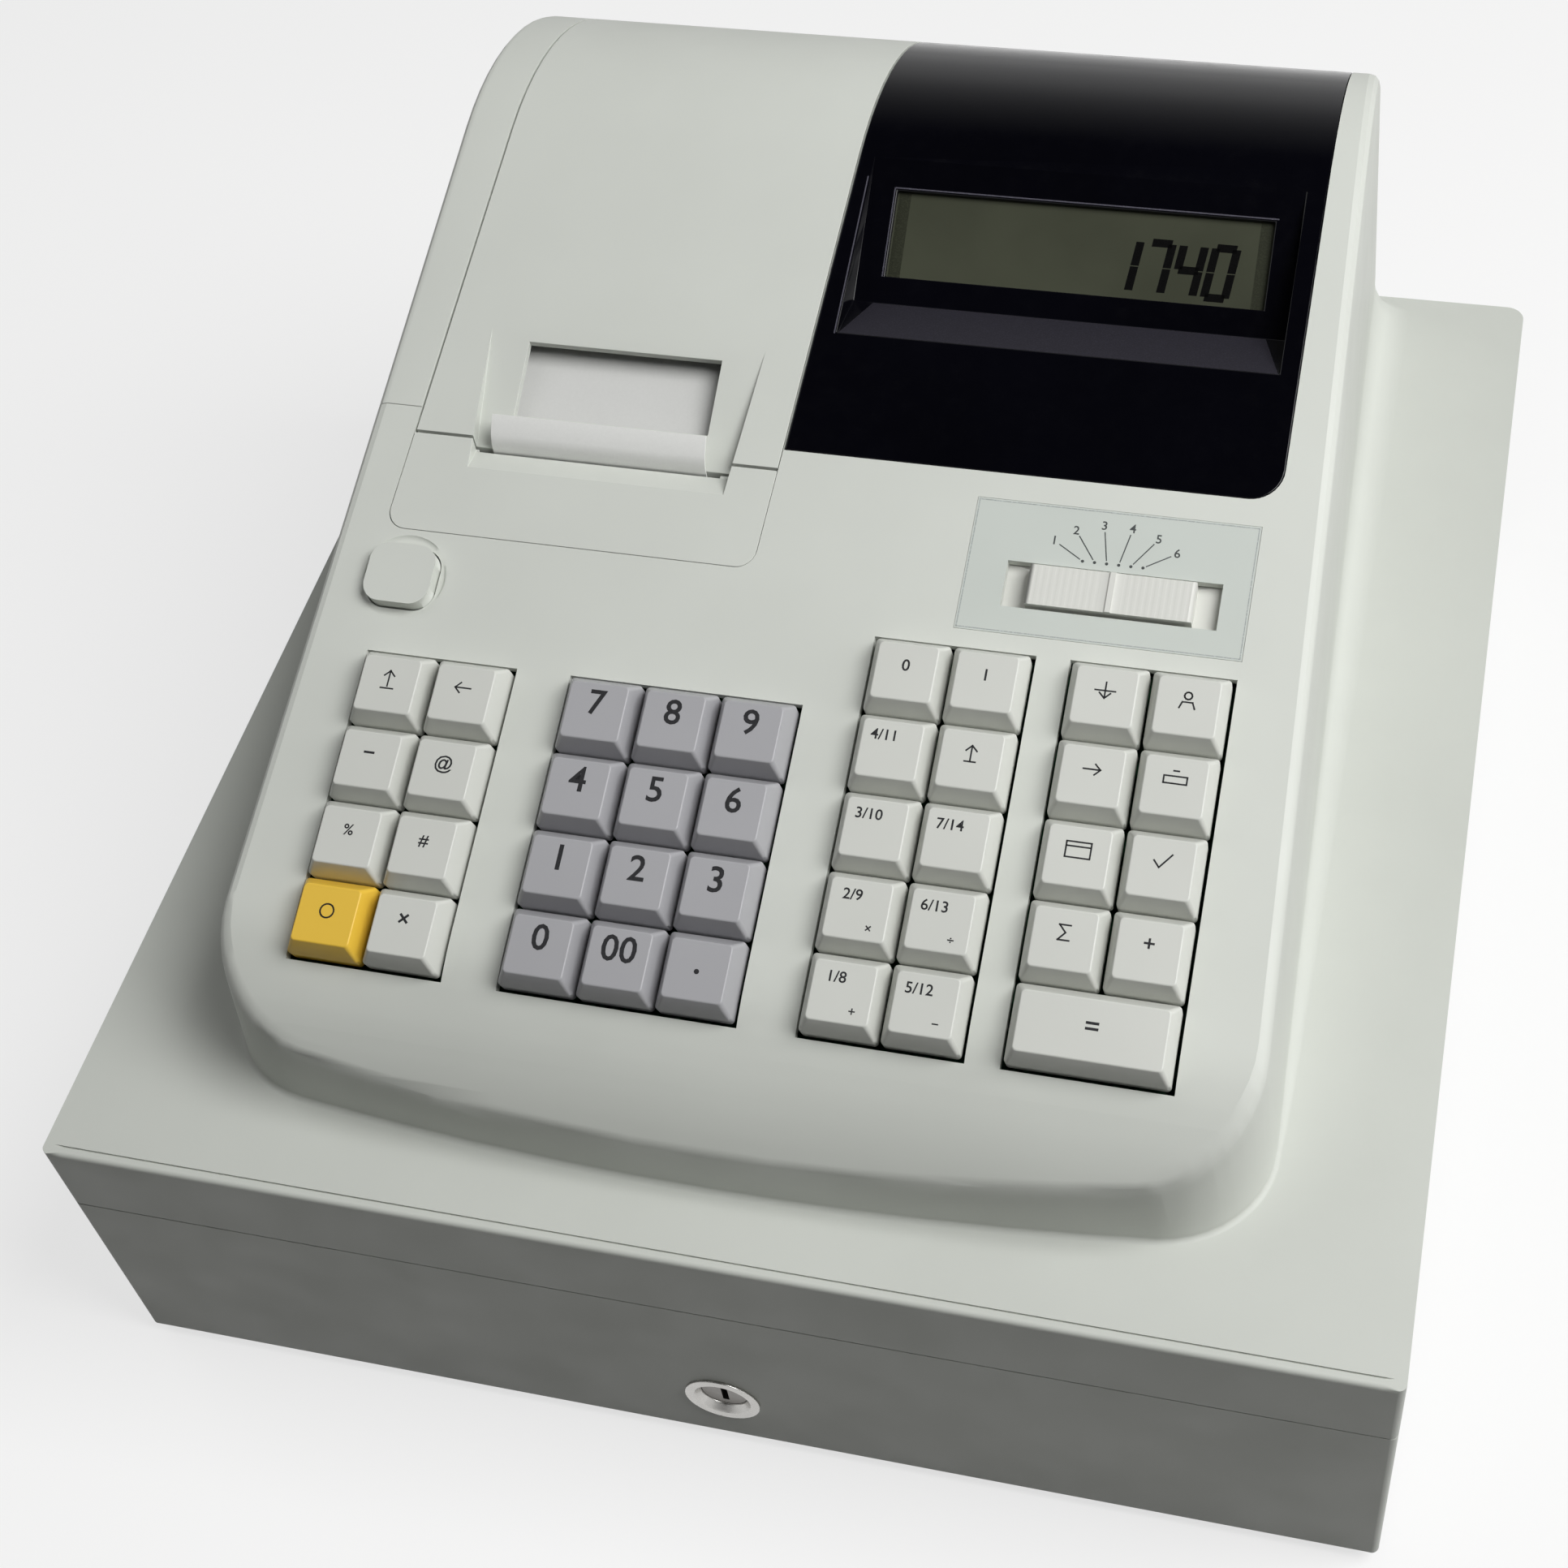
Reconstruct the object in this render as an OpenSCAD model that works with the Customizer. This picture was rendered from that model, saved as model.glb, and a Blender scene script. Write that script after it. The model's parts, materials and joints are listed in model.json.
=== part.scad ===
// Counter-top electronic cash register: a drawer case with a sloping console on top, which carries
// the receipt printer, the display, the mode switch and the keys. Millimetres.
// +X is the operator's right, +Y the back, +Z up. The origin lies on the counter under the middle.

/* [Case] */
// Width of the drawer case
case_w = 330; // [326:1:340]
// Depth over all, from the lock's ring to the back wall
case_d = 354; // [350:1:360]
// Height of the drawer section
drawer_h = 68; // [66:1:72]
// Height of the upper cabinet's skirt above the drawer section
skirt_h = 25; // [24:1:28]
// Height of the rubber feet under the case
foot_h = 4; // [3:0.5:6]
// Wall of the two cabinets
wall = 3; // [2.6:0.1:3.4]
// Corner radius of the case in plan
case_corner_r = 5; // [3:0.5:7]

/* [Console] */
// Slope of the key panel in degrees
slope = 18.9; // [18.4:0.1:19.4]
// Height of the key panel over the case's floor line, halfway along the depth
panel_h = 175; // [173:1:178]
// Radius of the rounded top at the back
roll_r = 68; // [66:1:70]
// Half of the console's width, halfway along the depth
console_half_w = 123; // [122:0.5:124]
// How much each side comes in towards the back, per mm of depth
side_taper = 0.031; // [0.025:0.001:0.034]
// Distance from the middle to the front lip
lip_y = 155.3; // [154:0.1:157]
// Radius of the lip's shallow bow in plan
bow_r = 900; // [850:10:950]
// Corner radius of the lip in plan
lip_corner_r = 27; // [25:1:29]
// Distance from the middle at which the panel starts to droop towards the lip
droop_y = 121.1; // [120:0.1:123]
// Radius of the droop
droop_r = 66; // [64:1:70]
// How far the lip's rounding reaches back at the front
nose_r = 2.9; // [2.8:0.1:4]
// How far the top edges' rounding reaches in at the sides
edge_r = 2.9; // [2.8:0.1:4]
// How far the rounding reaches down, all round
nose_h = 3; // [2.8:0.1:4]
// How far the front wall's foot stands out from the lip
foot_out = 1; // [0.5:0.5:2]
// How far the side walls lean out at the foot
side_flare = 3; // [2:0.5:4]
// Wall of the console and its covers
skin = 2.5; // [2.4:0.1:2.7]

/* [Keys] */
// Key spacing across
pitch_x = 19.35; // [19.2:0.05:19.4]
// Key spacing up the slope
pitch_y = 19.75; // [19.6:0.05:19.8]
// Gap round each key cap
key_gap = 0.9; // [0.7:0.1:1.1]
// How far the caps stand out of the panel
key_rise = 6; // [5:0.5:7]

/* [Drawer] */
// Thickness of the drawer's front panel
front_t = 13; // [12:0.5:14]
// Half of the tray's width
tray_half_w = 150; // [149:0.5:151]
// Height of the lock's centre over the floor line
lock_h = 21.7; // [21:0.1:23]
// Radius of the lock's ring
lock_r = 9.8; // [9:0.1:10.4]

/* [Paper] */
// Width of the paper
paper_w = 57; // [56:0.5:58]
// Radius of a full paper roll
paper_roll_r = 37; // [30:1:38]

/* [Hidden] */
FIXED = ["lower_cabinet", "upper_cabinet", "side_cheek", "roll_cover", "head_cover", "cover_button",
    "display_bezel", "lcd_panels", "mode_plate", "mode_slider", "drawer", "cash_insert",
    "note_clip_bar", "lock_housing", "lock_barrel", "drawer_latch", "feet", "keyboard_board",
    "printer_unit", "paper_roll", "receipt_paper"];

// Each key: name, group, column from the left, row from the back, width in keys, colour
KEYS = [
    ["key_feed", "left", 0, 0, 1, "white"], ["key_void", "left", 1, 0, 1, "white"],
    ["key_refund", "left", 0, 1, 1, "white"], ["key_price", "left", 1, 1, 1, "white"],
    ["key_percent", "left", 0, 2, 1, "white"], ["key_item", "left", 1, 2, 1, "white"],
    ["key_clear", "left", 0, 3, 1, "yellow"], ["key_quantity", "left", 1, 3, 1, "white"],
    ["key_7", "number", 0, 0, 1, "blue"], ["key_8", "number", 1, 0, 1, "blue"],
    ["key_9", "number", 2, 0, 1, "blue"], ["key_4", "number", 0, 1, 1, "blue"],
    ["key_5", "number", 1, 1, 1, "blue"], ["key_6", "number", 2, 1, 1, "blue"],
    ["key_1", "number", 0, 2, 1, "blue"], ["key_2", "number", 1, 2, 1, "blue"],
    ["key_3", "number", 2, 2, 1, "blue"], ["key_0", "number", 0, 3, 1, "blue"],
    ["key_00", "number", 1, 3, 1, "blue"], ["key_point", "number", 2, 3, 1, "blue"],
    ["key_receipt_off", "group", 0, 0, 1, "white"], ["key_receipt_on", "group", 1, 0, 1, "white"],
    ["key_group_4", "group", 0, 1, 1, "white"], ["key_group_shift", "group", 1, 1, 1, "white"],
    ["key_group_3", "group", 0, 2, 1, "white"], ["key_group_7", "group", 1, 2, 1, "white"],
    ["key_group_2", "group", 0, 3, 1, "white"], ["key_group_6", "group", 1, 3, 1, "white"],
    ["key_group_1", "group", 0, 4, 1, "white"], ["key_group_5", "group", 1, 4, 1, "white"],
    ["key_paid_out", "total", 0, 0, 1, "white"], ["key_clerk", "total", 1, 0, 1, "white"],
    ["key_received", "total", 0, 1, 1, "white"], ["key_no_sale", "total", 1, 1, 1, "white"],
    ["key_card", "total", 0, 2, 1, "white"], ["key_check", "total", 1, 2, 1, "white"],
    ["key_subtotal", "total", 0, 3, 1, "white"], ["key_charge", "total", 1, 3, 1, "white"],
    ["key_total", "total", 0, 4, 2, "white"]];

// Each key group: name, left edge, columns, rows
GROUPS = [["left", -107.1, 2, 4], ["number", -53.6, 3, 4], ["group", 19.5, 2, 5],
    ["total", 67.4, 2, 5]];

pale = [0.78, 0.80, 0.76];
key_white = [0.86, 0.87, 0.84];
key_blue = [0.60, 0.61, 0.66];
key_yellow = [0.93, 0.77, 0.25];
gloss_black = [0.03, 0.03, 0.05];
dark_metal = [0.45, 0.46, 0.48];

eps = 0.01;
far = 400;
roll_step = 5.5;
seam_gap = 0.2;
lid_gap = 0.35;

// Levels and planes of the case
lock_proud = 0.8;
barrel_sunk = 2.2;
z_floor = foot_h;
z_seam = foot_h + drawer_h;
z_top = z_seam + skirt_h;
y_back = case_d / 2;
y_front = -case_d / 2 + lock_proud;
y_body = y_front + front_t + 0.5;

// The rounded top: a cylinder that touches the key panel and the back wall
panel_z0 = foot_h + panel_h;
roll_y = y_back - roll_r;
roll_z = panel_z0 + tan(slope) * roll_y - roll_r / cos(slope);

// Seams of the covers, as straight lines in plan
cover_front_y = -25.5;
cover_split_y = 0.5;
cheek_front_y = 6.9;
bezel_front_y = 5.7;
bezel_right_x = 111;
cover_end_angle = 12;
cover_cut_angle = cover_end_angle - 0.3;

// Receipt pocket and window, in panel coordinates
pocket_left = -93.2;
pocket_right = -26.2;
pocket_top = 33;
pocket_spread = [-4.4, 3.3];
pocket_depth = 3.8;
pocket_wall = 1.8;
slot_back = -0.4;
slot_front = -1.9;
slot_left = -93.4;
slot_right = -28.8;
pocket_bottom = -8;
window_left = -86.2;
window_right = -34.1;
window_bottom = 9;
window_top = 29.2;

// Display recess, in panel coordinates
recess_left = -6;
recess_right = 106;
recess_top = 92;
recess_foot = 54.5;
recess_bottom = 40;
recess_depth = 9;
lcd_left = 1.4;
lcd_right = 99.1;
lcd_bottom = 61.5;
lcd_top = 83.8;
cover_t = 2.2;
floor_t = 1.6;
glass_t = 2;

// Customer's window on the rounded top: left, right and height along the curve
rear_window_angle = 38;
rear_window = [14, 92, 18];
rear_seat = 3.4;

// Mode switch, in panel coordinates
plate_box = [38, -36, 107.5, -0.9];
slot_box = [48.2, -28.9, 100.4, -16.9];
knob_box = [54.1, -28.1, 94.4, -17.7];

// Release button, in panel coordinates
button_at = [-103, -40];
button_size = [17.5, 16];
button_rise = 4.6;

// Keyboard
keys_bottom_v = -140.4;
key_top_x = 14.6;
key_top_y = 14.2;
board_top_n = -12.4;
board_t = 1.6;
stem_n = -6.3;

// Hinge of the roll cover, inside the rounded top
lid_hinge_depth = 4.8;
lid_hinge_room = 6.1;
lid_hinge_y = roll_y + (roll_r - lid_hinge_depth) * cos(cover_end_angle);
lid_hinge_z = roll_z + (roll_r - lid_hinge_depth) * sin(cover_end_angle);
lid_pin_r = 1.5;
pin_play = 0.05;
bracket_back = 160;

// Paper roll
paper_x = -61;
paper_y = 84;
paper_z = 134;
core_r = 6;

// Groove in the deck, behind its rounded rim
groove_inset = 2.3;
groove_w = 0.5;
groove_depth = 0.6;

// Drawer, insert and latch
tray_back_y = 150;
tray_top_z = 60;
tray_floor_z = 9;
tray_wall = 2.5;
insert_half_w = 147;
insert_front_y = -149;
insert_back_y = 147;
insert_z = tray_floor_z + tray_wall;
insert_top_z = 54;
insert_wall = 2;
bay_w = (2 * insert_half_w - 5 * insert_wall) / 4;
note_bay_y = -30;
cup_floor_r = 10;
clip_y = 138;
clip_z = 47;
clip_r = 2;
latch_y = 170;
latch_z = 64.5;
latch_pin_r = 1.5;
hook_y = [151, 154.5];
hook_z = 60.4;
striker_y = 159;
striker_z = [50, 56];
cam_reach = 21;

// Power inlet in the back of the skirt
jack_x = 140;
jack_r = 5.5;

function panel_z(y) = panel_z0 + tan(slope) * y;
function side_x(y) = console_half_w - side_taper * y;
function cheek_seam_x(y) = -110.3 + 0.045 * y;
function middle_seam_x(y) = -13.2 + 0.036 * y;
function reversed(list) = [for (i = [len(list) - 1 : -1 : 0]) list[i]];
function group_of(name) = [for (g = GROUPS) if (g[0] == name) g][0];

// Top line of the console in the YZ plane, set in by a depth, from the lip back to an angle of the roll
function top_line(depth, end_angle) = concat(
    [for (i = [12 : -1 : 0]) droop_point(depth, 90 + slope + 4 * i)],
    [for (a = [90 + slope : -roll_step : end_angle + 1]) roll_point(depth, a)],
    [roll_point(depth, end_angle)]);

function roll_point(depth, a) =
    [roll_y + (roll_r - depth) * cos(a), roll_z + (roll_r - depth) * sin(a)];

function droop_point(depth, a) =
    [droop_r * sin(slope) - droop_y + (droop_r - depth) * cos(a),
     panel_z(-droop_y) - droop_r * cos(slope) + (droop_r - depth) * sin(a)];

// Centre of a front corner's circle, which touches the bowed front and the straight side
function corner_centre(front, flare) =
    let (lean = sqrt(1 + side_taper * side_taper),
        reach = console_half_w + flare - lip_corner_r * lean,
        bow_y = bow_r - front, b = reach * side_taper + bow_y,
        c = reach * reach + bow_y * bow_y - (bow_r - lip_corner_r) * (bow_r - lip_corner_r),
        y = (b - sqrt(b * b - lean * lean * c)) / (lean * lean))
    [reach - side_taper * y, y];

// Right half of the console's plan, from the middle of the front round to the back
function half_plan(front, flare, back_y) =
    let (k = corner_centre(front, flare), bow_y = bow_r - front,
        turn = atan2(k[1] - bow_y, k[0]), out = atan(side_taper))
    concat([for (i = [1 : 5])
            let (a = -90 + (turn + 90) * i / 6) [bow_r * cos(a), bow_y + bow_r * sin(a)]],
        [for (i = [0 : 10])
            let (a = turn + (out - turn) * i / 10) k + lip_corner_r * [cos(a), sin(a)]],
        [[side_x(back_y) + flare, back_y]]);

// Plan outline with a bowed front, straight sides that come in, and two rounded front corners
module console_plan(front, flare, back_inset = 0) {
    half = half_plan(front, flare, y_back - back_inset);
    polygon(concat([[0, -front]], half, [for (q = reversed(half)) [-q[0], q[1]]]));
}

module along_x(x0, x1) {
    translate([x0, 0, 0]) rotate([90, 0, 90]) linear_extrude(x1 - x0) children();
}

// Places children on the key panel: X across, Y up the slope, Z out of the panel
module on_panel() {
    translate([0, 0, panel_z0]) rotate([slope, 0, 0]) children();
}

module box(low, high) {
    translate(low) cube([high[0] - low[0], high[1] - low[1], high[2] - low[2]]);
}

module rounded_rect(w, d, r) {
    for (x = [-1, 1]) for (y = [-1, 1]) translate([x * (w / 2 - r), y * (d / 2 - r)]) circle(r, $fn = 48);
    square([w - 2 * r, d], center = true);
    square([w, d - 2 * r], center = true);
}

// The console's solid form, set in from its outside all round, standing on z_base.
// Each pass of the loop is one level of the rounded edge, from the flat top down to the side.
module console_form(depth, z_base) {
    hull() {
        for (a = [0 : 30 : 90]) {
            back = depth + (nose_r - depth) * (1 - sin(a));
            aside = depth + (edge_r - depth) * (1 - sin(a));
            down = depth + (nose_h - depth) * (1 - cos(a));
            intersection() {
                translate([0, 0, z_base]) linear_extrude(far) console_plan(lip_y - back, -aside, depth);
                along_x(-case_w / 2, case_w / 2) polygon(concat(top_line(down, 0),
                    [[y_back - down, roll_z - 1], [-case_d / 2, z_top]]));
            }
        }
        translate([0, 0, z_base]) linear_extrude(0.5)
            console_plan(lip_y + foot_out - depth, side_flare - depth, depth);
    }
}

// A skin that follows the console's top between two depths, over a plan outline
module top_skin(outer, inner, end_angle) {
    intersection() {
        translate([0, 0, z_top]) linear_extrude(far) children();
        along_x(-case_w / 2, case_w / 2) polygon(concat(top_line(outer, end_angle),
            reversed(top_line(inner, end_angle))));
    }
}

// Plan outlines of the covers, each grown by g on every side
module lid_plan(g) {
    low = cover_split_y - g;
    polygon([[cheek_seam_x(low) - g, low], [middle_seam_x(low) + g, low],
        [middle_seam_x(y_back + 10) + g, y_back + 10], [cheek_seam_x(y_back + 10) - g, y_back + 10]]);
}

module covers_plan(g) {
    r = 5 + g;
    low = cover_front_y - g;
    left = cheek_seam_x(low) - g;
    right = middle_seam_x(low) + g;
    polygon(concat([for (a = [180 : 15 : 270]) [left + 0.1 + r + r * cos(a), low + r + r * sin(a)]],
        [for (a = [270 : 15 : 360]) [right + 0.1 - r + r * cos(a), low + r + r * sin(a)]],
        [[middle_seam_x(y_back + 10) + g, y_back + 10], [cheek_seam_x(y_back + 10) - g, y_back + 10]]));
}

module head_cover_plan() {
    difference() {
        covers_plan(-seam_gap);
        translate([-far, cover_split_y - 0.4]) square([2 * far, far]);
        translate([slot_left, slot_front * cos(slope) + pocket_depth * sin(slope)])
            square([slot_right - slot_left, far]);
    }
}

module bezel_plan(g) {
    r = 8 + g;
    low = bezel_front_y - g;
    polygon(concat([[middle_seam_x(low) - g, low]],
        [for (a = [270 : 10 : 360]) [bezel_right_x + g - r + r * cos(a), low + r + r * sin(a)]],
        [[bezel_right_x + g, y_back + 10], [middle_seam_x(y_back + 10) - g, y_back + 10]]));
}

module cheek_plan(g) {
    polygon([[-case_w / 2, cheek_front_y - g], [cheek_seam_x(cheek_front_y) + g, cheek_front_y - g],
        [cheek_seam_x(y_back + 10) + g, y_back + 10], [-case_w / 2, y_back + 10]]);
}

// A block on the inside of the back wall that carries one of the lid's pins
module hinge_bracket(x0, x1, below) {
    low_z = lid_hinge_z - 9;
    along_x(x0, x1) {
        intersection() {
            polygon(concat(top_line(below, 0),
                [[y_back - below, z_top], [-case_d / 2, z_top]]));
            translate([bracket_back, low_z]) square([far, 14]);
        }
        translate([bracket_back, low_z]) square([y_back - 1.5 - bracket_back, 6]);
    }
}

// A round bar along X at the lid's hinge
module lid_hinge_bar(r, x0, x1) {
    translate([x0, lid_hinge_y, lid_hinge_z]) rotate([0, 90, 0]) cylinder(h = x1 - x0, r = r, $fn = 48);
}

module case_plan(grow) {
    translate([0, (y_front + y_back) / 2])
        rounded_rect(case_w + 2 * grow, y_back - y_front + 2 * grow, case_corner_r + grow);
}

// Lower cabinet: a box that is open at the front, with the drawer's rails inside its walls
module lower_cabinet() {
    rail_w = case_w / 2 - wall - tray_half_w - 2.2;
    rail_x = case_w / 2 - wall - rail_w;
    color(pale) {
        difference() {
            translate([0, 0, z_floor]) linear_extrude(drawer_h) intersection() {
                case_plan(0);
                translate([-case_w / 2, y_body]) square([case_w, case_d]);
            }
            box([-case_w / 2 + wall, y_body - 1, z_floor + wall],
                [case_w / 2 - wall, y_back - wall, z_seam - wall]);
            box([-4.5, y_front + 19.7, z_floor - 1], [14, y_front + 23.7, z_floor + wall + 1]);
            foot_places() translate([0, 0, z_floor - 1]) cylinder(h = wall + 2, r = 4, $fn = 32);
        }
        for (side = [0, 1]) mirror([side, 0, 0]) {
            box([rail_x, y_body + 2, 33.7], [case_w / 2 - wall + eps, y_back - wall, 37.7]);
            box([rail_x, y_body + 2, 44.3], [case_w / 2 - wall + eps, y_back - wall, 48.3]);
            difference() {
                box([6.2, latch_y - 4, latch_z - 3.5], [8.2, y_back - wall + eps, z_seam - wall + eps]);
                latch_axle(latch_pin_r + pin_play, 12);
            }
        }
    }
}

module foot_places() {
    for (x = [-1, 1]) for (y = [-145, 155]) translate([x * 140, y, 0]) children();
}

module latch_axle(r, half) {
    translate([-half, latch_y, latch_z]) rotate([0, 90, 0]) cylinder(h = 2 * half, r = r, $fn = 32);
}

module key_well(g) {
    w = g[2] * pitch_x + 1;
    h = g[3] * pitch_y + 1;
    on_panel() box([g[1], keys_bottom_v, -far / 8], [g[1] + w, keys_bottom_v + h, 20]);
}

// Upper cabinet: the case's flat top with its skirt, and the console's shell, in one moulding
module upper_cabinet() {
    color(pale) difference() {
        union() {
            difference() {
                union() {
                    translate([0, 0, z_seam]) linear_extrude(skirt_h) case_plan(0);
                    console_form(0, z_top - 1);
                }
                translate([0, 0, z_seam - 1]) linear_extrude(skirt_h - wall + 1) case_plan(-wall);
                console_form(skin, z_top - 1);
                translate([0, 0, z_seam]) linear_extrude(skirt_h - 0.7)
                    console_plan(lip_y + foot_out - skin - 0.4, side_flare - skin - 0.4, skin + 0.4);
                translate([0, 0, z_top + eps]) linear_extrude(far) cheek_plan(0);
                top_skin(-1, skin + 0.3, cover_cut_angle) covers_plan(0);
                top_skin(-1, skin + 0.3, cover_cut_angle) bezel_plan(0);
            }
            cover_frame();
            for (at = [[-60.5, -72], [-60.5, -128], [12.5, -72], [12.5, -128], [63.2, -56], [63.2, -128]])
                on_panel() translate([at[0], at[1], board_top_n])
                    cylinder(h = -board_top_n - 1, r = 3, $fn = 32);
            hinge_bracket(-6.2, -2.2, skin + 0.5);
        }
        for (g = GROUPS) key_well(g);
        on_panel() {
            box([plate_box[0], plate_box[1], -0.35], [plate_box[2], plate_box[3], 1]);
            box([slot_box[0], slot_box[1], -5], [slot_box[2], slot_box[3], 1]);
            translate([button_at[0], button_at[1], -5]) linear_extrude(8) button_outline(0.4, 5.4);
            translate([button_at[0], button_at[1], -0.9])
                cylinder(h = 2, r1 = 10.6, r2 = 12.6, $fn = 48);
        }
        intersection() {
            lid_hinge_bar(lid_hinge_room, -case_w / 2, case_w / 2);
            translate([0, 0, z_top]) linear_extrude(far) covers_plan(0.1);
        }
        lid_hinge_bar(lid_pin_r + pin_play, -12, 0);
        translate([jack_x, y_back + 1, z_seam + 12]) rotate([90, 0, 0])
            cylinder(h = wall + 2, r = jack_r, $fn = 32);
        translate([0, 0, z_top - groove_depth]) linear_extrude(1) difference() {
            case_plan(-groove_inset);
            case_plan(-groove_inset - groove_w);
            console_plan(lip_y, side_flare + groove_inset, -1);
        }
    }
}

// Ledges under the covers and the bezel, and the wall between the printer bay and the side cheek
module cover_frame() {
    top = cover_t + 0.5;
    left_y = cheek_front_y - 0.3;
    low_y = cover_front_y - 2.5;
    // Under the covers' edges, down to where the lid's hinge needs its room
    top_skin(top, top + 2, 30) {
        seam_strip(-1, low_y, y_back, -2.5, 3);
        seam_strip(1, low_y, y_back, -3, 2.5);
        translate([cheek_seam_x(0) - 2, low_y])
            square([middle_seam_x(0) - cheek_seam_x(0) + 2, 5]);
    }
    // Under the bezel's edges, down to the back wall
    top_skin(top + 0.2, top + 2.7, 5) {
        seam_strip(1, bezel_front_y, y_back, 0.5, 2);
        translate([middle_seam_x(0), bezel_front_y - 2.5])
            square([bezel_right_x - middle_seam_x(0) + 2, 5.5]);
        translate([bezel_right_x - 2, bezel_front_y - 2]) square([4.5, y_back]);
    }
    // Roots of the ledges in the shell outside the seams
    top_skin(skin - 1.2, top + 1, 30) {
        seam_strip(-1, low_y, left_y - 0.5, -2.5, -0.5);
        seam_strip(1, low_y, bezel_front_y - 0.5, 0.5, 2.5);
        translate([cheek_seam_x(0) - 1, low_y])
            square([middle_seam_x(0) - cheek_seam_x(0) + 2, 2]);
        translate([middle_seam_x(0) + 1, bezel_front_y - 2.5])
            square([bezel_right_x - middle_seam_x(0), 2]);
        translate([bezel_right_x + 0.5, bezel_front_y - 2.5]) square([2, y_back]);
    }
    intersection() {
        translate([0, 0, z_seam + 2]) linear_extrude(far) seam_strip(-1, left_y - 6, 150, 0.3, 2.3);
        along_x(-case_w / 2, case_w / 2) polygon(concat(top_line(skin + 0.5, 20),
            [[y_back, z_seam + 2], [-case_d / 2, z_seam + 2]]));
    }
}

// A strip in plan along the cheek's seam (side -1) or the middle seam (side 1), between two offsets
module seam_strip(side, y0, y1, x0, x1) {
    at0 = side < 0 ? cheek_seam_x(y0) : middle_seam_x(y0);
    at1 = side < 0 ? cheek_seam_x(y1) : middle_seam_x(y1);
    polygon([[at0 + x0, y0], [at0 + x1, y0], [at1 + x1, y1], [at1 + x0, y1]]);
}

// Side cheek: the left rear corner of the console, with the boss for the roll cover's left pin
module side_cheek() {
    color(pale) difference() {
        union() {
            intersection() {
                difference() {
                    console_form(0, z_top);
                    console_form(skin, z_top - 2);
                }
                translate([0, 0, z_top]) linear_extrude(far) cheek_plan(-seam_gap);
            }
            hinge_bracket(-108.5, -103.4, 1);
            for (y = [40, 110]) intersection() {
                console_form(skin - eps, z_top);
                translate([0, 0, z_top]) linear_extrude(far)
                    polygon([[-case_w / 2, y], [cheek_seam_x(y) + 0.3, y],
                        [cheek_seam_x(y + 3) + 0.3, y + 3], [-case_w / 2, y + 3]]);
                along_x(-case_w / 2, case_w / 2) polygon(concat(top_line(skin + 4, 20),
                    [[y_back, z_top], [-case_d / 2, z_top]]));
            }
        }
        lid_hinge_bar(lid_pin_r + pin_play, -112, -100);
    }
}

// The receipt pocket's outline on the panel, grown by g: it narrows from its top to the front
module pocket_outline(g) {
    on_panel() translate([0, 0, -far / 8]) linear_extrude(far / 4) polygon([
        [pocket_left + pocket_spread[0] - g, pocket_top + 6], [pocket_left - g, pocket_bottom - 6],
        [pocket_right + g, pocket_bottom - 6], [pocket_right + pocket_spread[1] + g, pocket_top + 6]]);
}

// A side view that runs across the pocket's outline, grown by g
module across_pocket(g, side_view) {
    intersection() {
        pocket_outline(g);
        on_panel() along_x(-case_w / 2, 0) polygon(side_view);
    }
}

// Roll cover: the lid over the paper roll, hinged inside the rounded top
module roll_cover() {
    t = cover_t;
    slope_of = pocket_depth / (pocket_top - slot_back);
    knuckle_l = cheek_seam_x(lid_hinge_y) + 2 * lid_gap;
    knuckle_r = middle_seam_x(lid_hinge_y) - 2 * lid_gap;
    knuckle_radius = lid_hinge_depth - 0.3;
    color(pale) difference() {
        union() {
            intersection() {
                union() {
                    top_skin(0, t, cover_end_angle) lid_plan(1);
                    across_pocket(pocket_wall, [[pocket_top + 4, -0.5], [slot_back - 2, -0.5],
                        [slot_back - 2, -pocket_depth - 2 * slope_of - t],
                        [pocket_top + 4, 4 * slope_of - t]]);
                }
                translate([0, 0, z_top]) linear_extrude(far) lid_plan(-lid_gap);
            }
            difference() {
                lid_hinge_bar(knuckle_radius, knuckle_l, knuckle_r);
                lid_hinge_bar(knuckle_radius - 2, knuckle_l + 4, knuckle_r - 4);
                box([knuckle_l + 4, lid_hinge_y - 9, lid_hinge_z - 9],
                    [knuckle_r - 4, lid_hinge_y - 1, lid_hinge_z + 3]);
            }
            lid_hinge_bar(lid_pin_r, knuckle_l - 4, knuckle_l + 5);
            lid_hinge_bar(lid_pin_r, knuckle_r - 5, knuckle_r + 4);
        }
        across_pocket(0, [[pocket_top, 0], [slot_back - 3, -pocket_depth - 3 * slope_of],
            [slot_back - 3, 3], [pocket_top, 3]]);
        on_panel() box([window_left, window_bottom, -20], [window_right, window_top, 3]);
    }
}

// Print head cover: the fixed cover in front of the lid, with the tear edge on the exit slot
module head_cover() {
    color(pale) difference() {
        intersection() {
            union() {
                top_skin(0, skin, 60) covers_plan(1);
                across_pocket(pocket_wall, [[pocket_bottom - 2, -0.5], [2, -0.5], [2, -pocket_depth - 2],
                    [slot_front, -pocket_depth - 2], [pocket_bottom - 2, -2.2]]);
            }
            translate([0, 0, z_top]) linear_extrude(far) head_cover_plan();
        }
        across_pocket(0, [[pocket_bottom, 0], [slot_front, -pocket_depth], [3, -pocket_depth],
            [3, 3], [pocket_bottom, 3]]);
    }
}

module button_outline(grow, r) {
    rounded_rect(button_size[0] + 2 * grow, button_size[1] + 2 * grow, r);
}

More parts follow.
